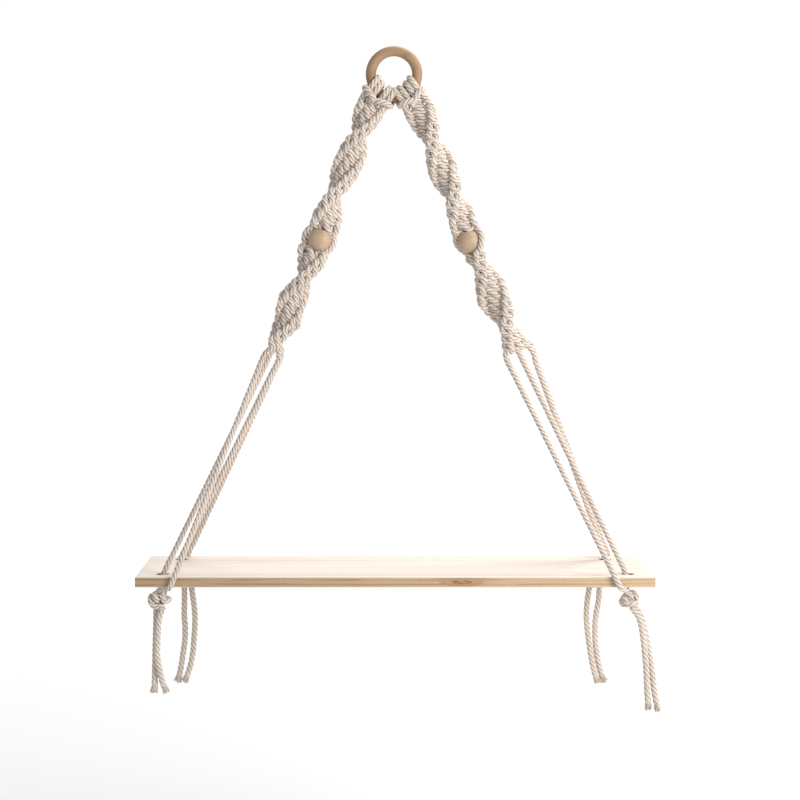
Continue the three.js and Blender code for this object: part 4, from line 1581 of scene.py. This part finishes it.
class Cord:
    """One whole cord: a tail, a knot, a strand, a knotting cord, a lark's head, and back by a filler.

    Both its ends are tied at one corner. A front corner's cord is its arm's left one at the ring.
    """

    def __init__(self, corner: Corner, rope: RopeSizes, shares: HeadShares, fray: FraySizes) -> None:
        """Routes the cord.

        Args:
            corner: The corner where both its ends are tied.
            rope: The rope's sizes.
            shares: Where it runs on its lark's head.
            fray: How its ends fray.
        """
        self.corner, self.rope, self.fray = corner, rope, fray
        self.label = corner.sizes.label
        self.left = corner.sizes.face is Face.FRONT
        arm = corner.arm
        head = LarksHead(arm, arm.sizes.head_angles[0 if self.left else 1], rope, shares)
        self.route = CordRoute(rope)
        self.lay(arm, head.loop() if self.left else head.loop()[::-1])

    def lay(self, arm: ArmLine, loop: np.ndarray) -> None:
        """Puts the cord's stretches together, from tail a to tail b.

        Args:
            arm: The cord's arm.
            loop: Its lark's head, in the same direction.
        """
        corner, rope, route = self.corner, self.rope, self.route
        knotting = arm.knotting_cord(1 if self.left else 0)
        filler = arm.filler_cord(-1 if self.left else 1)
        tied, hole = corner.tied, corner.hole_strand()
        route.add(corner.tails[0][:0:-1], rope.relaxed)
        route.mark("end_a", 0)
        route.add(tied[0][::-1], rope.tied)
        route.mark("knot_a_foot", -len(tied[0]))
        route.mark("knot_a_top")
        route.add(corner.edge_strand()[::-1], rope.taut)
        route.add(knotting[::-1], rope.pressed)
        route.mark("foot_a", -len(knotting) - len(corner.sizes.edge_lead))
        route.add(loop, rope.looped)
        route.add(filler, rope.packed)
        route.add(hole, rope.taut)
        route.mark("foot_b", len(corner.sizes.hole_lead) - len(hole) - 1)
        route.add(tied[1], rope.tied)
        route.mark("knot_b_top", -len(tied[1]))
        route.mark("knot_b_foot")
        route.add(corner.tails[1][1:], rope.relaxed)
        route.mark("end_b")
        route.lay_out()

    def build(self, sweep: RopeSweep, cloth: bpy.types.Material) -> None:
        """Makes the cord's pieces, and fixes its knot and its tails to the board.

        Args:
            sweep: What sweeps the rope.
            cloth: The rope's material.
        """
        route, hand = self.route, self.corner.sizes.hand
        side = hand.name.lower()
        role = "outer" if self.left == (hand is Hand.LEFT) else "inner"
        letter, filler = ("b", "a") if self.left else ("a", "b")
        upper = sweep.rope(f"{side}_{role}_cord", [route.between("foot_a", "foot_b")], cloth)
        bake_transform(upper)
        nodes = (f"{side}_{role}_larks_head", f"{side}_knotting_cord_{letter}", f"{side}_filler_{filler}")
        dressed(upper, "cotton_cord", *nodes)
        strands = (("edge_strand", "knot_a_top", "foot_a"), ("hole_strand", "foot_b", "knot_b_top"))
        for part, start, end in strands:
            piece = sweep.rope(f"{self.label}_{part}_rope", [route.between(start, end)], cloth)
            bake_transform(piece)
            dressed(piece, "cotton_cord", f"{self.label}_{part}")
        tied = [route.between("knot_a_foot", "knot_a_top"), route.between("knot_b_top", "knot_b_foot")]
        knot = sweep.rope(f"{self.label}_knot", tied, cloth)
        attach(knot, "board")
        dressed(knot, "cotton_cord", f"{self.label}_stopper_knot")
        self.build_tail("a", route.between("end_a", "knot_a_foot").reversed(), sweep, cloth)
        self.build_tail("b", route.between("knot_b_foot", "end_b"), sweep, cloth)

    def build_tail(
        self, letter: str, strand: Strand, sweep: RopeSweep, cloth: bpy.types.Material
    ) -> None:
        """Makes one tail, with its end frayed into loose yarns.

        Args:
            letter: Which of the cord's two tails it is.
            strand: The tail's stretch, from the knot outwards.
            sweep: What sweeps the rope.
            cloth: The rope's material.
        """
        name = f"{self.label}_tail_{letter}"
        loose = self.fray.yarns_of(strand, self.rope.lay, SEED + sum(ord(sign) for sign in name))
        covered = strand.shortened(self.fray.length * self.fray.cover)
        tail = sweep.rope(name + "_rope", [covered, *loose], cloth)
        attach(tail, "board")
        dressed(tail, "cotton_cord", name)


def dressed(piece: bpy.types.Object, slot: str, *nodes: str) -> None:
    """Hides the solids that a piece stands for, and reports the piece.

    Args:
        piece: The finished piece.
        slot: Not used.
        *nodes: The solids that it replaces.
    """
    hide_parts(*nodes)
    LOG.info("made %s", piece.name)


def closed_skin(shape: bmesh.types.BMesh, rows: list) -> None:
    """Joins rows of points that run round two ways, as on a ring or a bored bead.

    Args:
        shape: The shape that the points are in.
        rows: The rows of points.
    """
    for i, row in enumerate(rows):
        after = rows[(i + 1) % len(rows)]
        for j in range(len(row)):
            k = (j + 1) % len(row)
            shape.faces.new((row[j], row[k], after[k], after[j]))
    bmesh.ops.recalc_face_normals(shape, faces=shape.faces)


def finished(
    name: str,
    shape: bmesh.types.BMesh,
    material: bpy.types.Material,
    grain: Matrix,
    place: Matrix | None = None,
) -> bpy.types.Object:
    """Turns a shape into a finished object at the origin.

    Args:
        name: The piece's name.
        shape: The shape, which is freed.
        material: Its material.
        grain: Takes a place in the part's frame to the wood's own grain frame.
        place: Where the shape goes, if it was built about its own middle.

    Returns:
        The object, with its grain places kept as the wood_grain attribute.
    """
    if place is not None:
        bmesh.ops.transform(shape, matrix=place, verts=shape.verts)
    piece = plain(name, shape)
    mesh = piece.data
    mesh.materials.append(material)
    mesh.shade_smooth()
    mesh.set_sharp_from_angle(angle=math.radians(SHARP_FROM))
    places = [tuple(grain @ v.co) for v in mesh.vertices]
    attribute = mesh.attributes.new("wood_grain", "FLOAT_VECTOR", "POINT")
    attribute.data.foreach_set("vector", np.array(places, np.float32).ravel())
    return piece


@dataclass
class HangingRing:
    """The wooden ring, a turned loop of round section."""

    sizes: RingSizes
    steps: int = 128
    sides: int = 40
    unevenness: float = 0.012
    grain_turn: float = 28.0

    def place(self, step: int, side: int) -> tuple[float, float, float]:
        """Gives a place on the ring's skin.

        Args:
            step: How far round the ring it is.
            side: How far round the section it is.

        Returns:
            The place.
        """
        sizes = self.sizes
        a = 2 * math.pi * step / self.steps
        b = 2 * math.pi * side / self.sides
        uneven = 1 + self.unevenness * math.sin(3 * a + 1)
        out = sizes.radius + math.cos(b) * sizes.section / 2 * uneven
        return (math.sin(a) * out, math.sin(b) * sizes.section / 2, sizes.centre[2] - math.cos(a) * out)

    def build(self, wood: bpy.types.Material) -> None:
        """Builds the ring.

        Args:
            wood: Its material.
        """
        shape = bmesh.new()
        rows = [[shape.verts.new(self.place(i, j)) for j in range(self.sides)] for i in range(self.steps)]
        closed_skin(shape, rows)
        grain = Matrix.Rotation(math.radians(self.grain_turn), 4, "Y")
        ring = finished("turned_ring", shape, wood, grain)
        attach(ring, "ring")
        dressed(ring, "ring_wood", "hanging_ring")


@dataclass
class Bead:
    """One round bead on its arm, with a bore and eased mouths.

    The mouth is the share of the ease by which its edge stands out from the bore and lies in.
    """

    sizes: BeadSizes
    arm: ArmLine
    steps: int = 32
    sides: int = 56
    mouth: tuple = (0.3, 0.12)

    def profile(self) -> list[tuple[float, float]]:
        """Draws half the bead's section.

        Returns:
            Places in order, each a distance from the bore's line and one along it.
        """
        sizes = self.sizes
        radius, bore, ease = sizes.diameter / 2, sizes.bore / 2, sizes.mouth_ease
        mouth = math.asin((bore + ease) / radius)
        places = []
        for i in range(self.steps + 1):
            a = mouth + (math.pi - 2 * mouth) * i / self.steps
            places.append((radius * math.sin(a), radius * math.cos(a)))
        end = radius * math.cos(mouth)
        out, down = ease * self.mouth[0], ease * self.mouth[1]
        places += [(bore + out, -end + down), (bore, -end + ease)]
        return places + [(bore, 0.0), (bore, end - ease), (bore + out, end - down)]

    def build(self, wood: bpy.types.Material) -> None:
        """Builds the bead.

        Args:
            wood: Its material.
        """
        shape = bmesh.new()
        turns = [2 * math.pi * j / self.sides for j in range(self.sides)]
        rows = [
            [shape.verts.new((z, r * math.cos(turn), r * math.sin(turn))) for turn in turns]
            for r, z in self.profile()
        ]
        closed_skin(shape, rows)
        turn = Vector((1, 0, 0)).rotation_difference(Vector(self.arm.along)).to_matrix().to_4x4()
        middle = self.arm.top + self.arm.along * self.arm.sizes.bead_along
        place = Matrix.Translation(Vector(middle)) @ turn
        side = self.arm.sizes.hand.name.lower()
        bead = finished(f"{side}_turned_bead", shape, wood, place.inverted(), place)
        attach(bead, f"{side}_bead")
        dressed(bead, "bead_wood", f"{side}_bead")


@dataclass
class Board:
    """The board with its four drilled holes and eased edges.

    The grain turns are in degrees about the upright and about the board's length. A face counts as sawn
    by how far it is turned aside: not at all above the first of the sawn range, wholly at its end.
    """

    sizes: BoardSizes
    drill_sides: int = 48
    ease_steps: int = 3
    ease_from: float = 50.0
    grain_turns: tuple = (0.6, 24.0)
    sawn_range: tuple = (0.5, 0.45)
    bore_room: float = 0.05 * MM

    def holes(self) -> list[tuple[float, float]]:
        """Finds the middle of each hole.

        Returns:
            X and Y of each.
        """
        sizes = self.sizes
        insets = ((Face.FRONT, sizes.front_hole_from_end), (Face.BACK, sizes.back_hole_from_end))
        places = []
        for hand in Hand:
            for face, inset in insets:
                y = face.value * (sizes.depth / 2 - sizes.hole_from_edge)
                places.append((hand.value * (sizes.length / 2 - inset), y))
        return places

    def block(self) -> bpy.types.Object:
        """Saws the plain block.

        Returns:
            The block.
        """
        sizes = self.sizes
        shape = bmesh.new()
        bmesh.ops.create_cube(shape, size=1.0)
        bmesh.ops.scale(shape, vec=(sizes.length, sizes.depth, sizes.thickness), verts=shape.verts)
        bmesh.ops.translate(shape, vec=(0, 0, sizes.top - sizes.thickness / 2), verts=shape.verts)
        return plain("block", shape)

    def drill(self, block: bpy.types.Object, x: float, y: float) -> bpy.types.Object:
        """Drills one hole into the block.

        Args:
            block: The block.
            x: The hole's place along the board.
            y: Its place across the board.

        Returns:
            The drill, to be taken away afterwards.
        """
        sizes = self.sizes
        shape = bmesh.new()
        bmesh.ops.create_cone(
            shape,
            cap_ends=True,
            segments=self.drill_sides,
            radius1=sizes.hole / 2,
            radius2=sizes.hole / 2,
            depth=sizes.thickness * 3,
            matrix=Matrix.Translation((x, y, sizes.top)),
        )
        tool = plain("drill", shape)
        cut = block.modifiers.new("hole", "BOOLEAN")
        cut.operation, cut.solver, cut.object = "DIFFERENCE", "EXACT", tool
        return tool

    def build(self, wood: bpy.types.Material) -> None:
        """Builds the board: a block, drilled, with every edge eased.

        Args:
            wood: Its material.
        """
        block = self.block()
        drills = [self.drill(block, x, y) for x, y in self.holes()]
        ease = block.modifiers.new("ease", "BEVEL")
        ease.width, ease.segments, ease.limit_method = self.sizes.ease, self.ease_steps, "ANGLE"
        ease.angle_limit = math.radians(self.ease_from)
        bpy.context.view_layer.update()
        depsgraph = bpy.context.evaluated_depsgraph_get()
        mesh = bpy.data.meshes.new_from_object(block.evaluated_get(depsgraph))
        for spare in (*drills, block):
            bpy.data.objects.remove(spare)
        made = bmesh.new()
        made.from_mesh(mesh)
        bpy.data.meshes.remove(mesh)
        upright, long = (math.radians(turn) for turn in self.grain_turns)
        grain = Matrix.Rotation(upright, 4, "Z") @ Matrix.Rotation(long, 4, "X")
        board = finished("planed_board", made, wood, grain)
        self.mark_sawn(board.data)
        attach(board, "board")
        dressed(board, "board_wood", "shelf_board")

    def mark_sawn(self, mesh: bpy.types.Mesh) -> None:
        """Keeps as wood_edge how far each face is turned aside, and marks the holes' walls, which get
        painted shade.

        Args:
            mesh: The board's mesh.
        """
        upright = np.array([abs(face.normal.z) for face in mesh.polygons])
        aside = np.clip((self.sawn_range[0] - upright) / self.sawn_range[1], 0.0, 1.0).astype(np.float32)
        mesh.attributes.new("wood_edge", "FLOAT", "FACE").data.foreach_set("value", aside)
        places = np.array([tuple(v.co) for v in mesh.vertices])
        near = np.zeros(len(places), np.float32)
        for hole in self.holes():
            reach = np.linalg.norm(places[:, :2] - hole, axis=1)
            # marks the holes' walls, which the board's material darkens with painted shade
            near[reach < self.sizes.hole / 2 + self.bore_room] = 1.0
        mesh.attributes.new("wood_bore", "FLOAT", "POINT").data.foreach_set("value", near)


@dataclass(frozen=True)
class Lamp:
    """One soft square lamp: its name, place, size in metres, power in watts and colour."""

    name: str
    place: tuple
    size: float
    power: float
    colour: tuple

    def hang(self, aim: tuple) -> None:
        """Hangs the lamp.

        Args:
            aim: The place that it shines at.
        """
        data = bpy.data.lights.new(self.name, "AREA")
        data.size, data.energy, data.color = self.size, self.power, self.colour
        lamp = linked(self.name, data)
        lamp.location = self.place
        lamp.rotation_euler = (Vector(aim) - Vector(self.place)).to_track_quat("-Z", "Y").to_euler()


LAMPS = (
    Lamp("top", (0.5, 0.4, 0.95), 0.8, 16.5, (1.0, 0.985, 0.96)),
    Lamp("right", (0.68, -0.7, 0.05), 0.45, 7.5, (1.0, 0.985, 0.97)),
    Lamp("front", (-1.1, -2.2, 0.5), 1.0, 0.4, (1.0, 0.98, 0.95)),
)


@dataclass
class Studio:
    """The camera, the floor and the light.

    The eye's height is measured from the board's top, and the floor's drop from there down. The glow
    makes the floor whiter to the camera alone, by the distances from its middle in the glow's reach.
    """

    board: BoardSizes
    lens: float = 86.4
    sensor: float = 36.0
    shift: tuple = (0.045, -0.146)
    clip: tuple = (0.05, 50.0)
    eye: tuple = (-0.021, -1.340, 0.1975)
    aim: tuple = (0.0, 0.0, -0.2)
    floor_drop: float = 0.26
    floor_size: float = 12.0
    floor_grey: float = 0.82
    floor_roughness: float = 0.9
    glow_reach: tuple = (0.3, 2.2)
    glow: tuple = (0.05, 0.75)
    sky: float = 0.5
    sky_colour: tuple = (0.96, 0.965, 1.0)

    def camera(self) -> None:
        """Sets the camera at the photograph's place and angle."""
        data = bpy.data.cameras.new("camera")
        data.lens, data.sensor_width = self.lens, self.sensor
        data.shift_x, data.shift_y = self.shift
        data.clip_start, data.clip_end = self.clip
        camera = linked("camera", data)
        camera.location = (self.eye[0], self.eye[1], self.board.top + self.eye[2])
        camera.rotation_euler = (math.pi / 2, 0.0, 0.0)
        bpy.context.scene.camera = camera

    def floor(self) -> None:
        """Lays a plain pale floor some way under the shelf, a little brighter far away from it."""
        height = self.board.top - self.floor_drop
        bpy.ops.mesh.primitive_plane_add(size=self.floor_size, location=(0, 0, height))
        floor = bpy.context.object
        floor.name = "floor"
        material, nodes, shader = new_material("floor")
        nodes.fill(shader.inputs["Base Color"], (self.floor_grey,) * 3 + (1.0,))
        nodes.fill(shader.inputs["Roughness"], self.floor_roughness)
        away = nodes.vector("LENGTH", nodes.add("ShaderNodeTexCoord").outputs["Object"])
        glow = nodes.ramp(away, self.glow_reach, self.glow)
        seen = nodes.add("ShaderNodeLightPath").outputs["Is Camera Ray"]
        light = nodes.add("ShaderNodeEmission", {"Strength": nodes.times(seen, glow)})
        both = nodes.add("ShaderNodeAddShader", {0: shader.outputs[0], 1: light.outputs[0]})
        nodes.fill(material.node_tree.nodes["Material Output"].inputs["Surface"], both.outputs[0])
        floor.data.materials.append(material)

    def world(self) -> None:
        """Gives a soft even sky that is plain white behind the shelf."""
        world = bpy.data.worlds.new("studio")
        bpy.context.scene.world = world
        world.use_nodes = True
        world.node_tree.nodes.clear()
        nodes = NodeTree(world.node_tree)
        seen = nodes.add("ShaderNodeLightPath").outputs["Is Camera Ray"]
        soft = nodes.add("ShaderNodeBackground", {"Color": (*self.sky_colour, 1), "Strength": self.sky})
        white = nodes.add("ShaderNodeBackground", {"Color": (1, 1, 1, 1), "Strength": 1.0})
        mixed = nodes.add("ShaderNodeMixShader", {0: seen, 1: soft.outputs[0], 2: white.outputs[0]})
        nodes.add("ShaderNodeOutputWorld", {"Surface": mixed.outputs[0]})

    def build(self) -> None:
        """Builds the floor, the sky and the lamps."""
        bpy.context.scene.view_settings.view_transform = "Standard"
        self.floor()
        self.world()
        for lamp in LAMPS:
            lamp.hang(self.aim)


@dataclass
class RopeShelf:
    """The whole shelf."""

    rope: RopeSizes = RopeSizes()
    ring: RingSizes = RingSizes()
    board: BoardSizes = BoardSizes()
    bead: BeadSizes = BeadSizes()
    knots: HalfKnotSizes = HalfKnotSizes()
    shares: HeadShares = HeadShares()
    fray: FraySizes = FraySizes()

    def __post_init__(self) -> None:
        """Lays out the arms, corners and cords."""
        arms = (ArmLine(sizes, self.ring, self.knots, self.bead) for sizes in (LEFT_ARM, RIGHT_ARM))
        self.arms = {arm.sizes.hand: arm for arm in arms}
        corners = [Corner(sizes, self.arms[sizes.hand], self.board, self.rope) for sizes in CORNERS]
        self.cords = [Cord(corner, self.rope, self.shares, self.fray) for corner in corners]

    def build(self) -> None:
        """Makes every piece of the shelf."""
        cloth = CottonFinish().material()
        sweep = RopeSweep(self.rope)
        for cord in self.cords:
            cord.build(sweep, cloth)
        HangingRing(self.ring).build(RING_WOOD.material())
        beads = BEAD_WOOD.material()
        for arm in self.arms.values():
            Bead(self.bead, arm).build(beads)
        Board(self.board).build(BOARD_WOOD.material())


def main() -> None:
    """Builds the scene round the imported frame."""
    logging.basicConfig(level=logging.INFO, format="%(name)s: %(message)s")
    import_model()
    studio = Studio(BoardSizes())
    studio.camera()
    shelf = RopeShelf()
    shelf.build()
    studio.build()


if __name__ == "__main__":
    main()
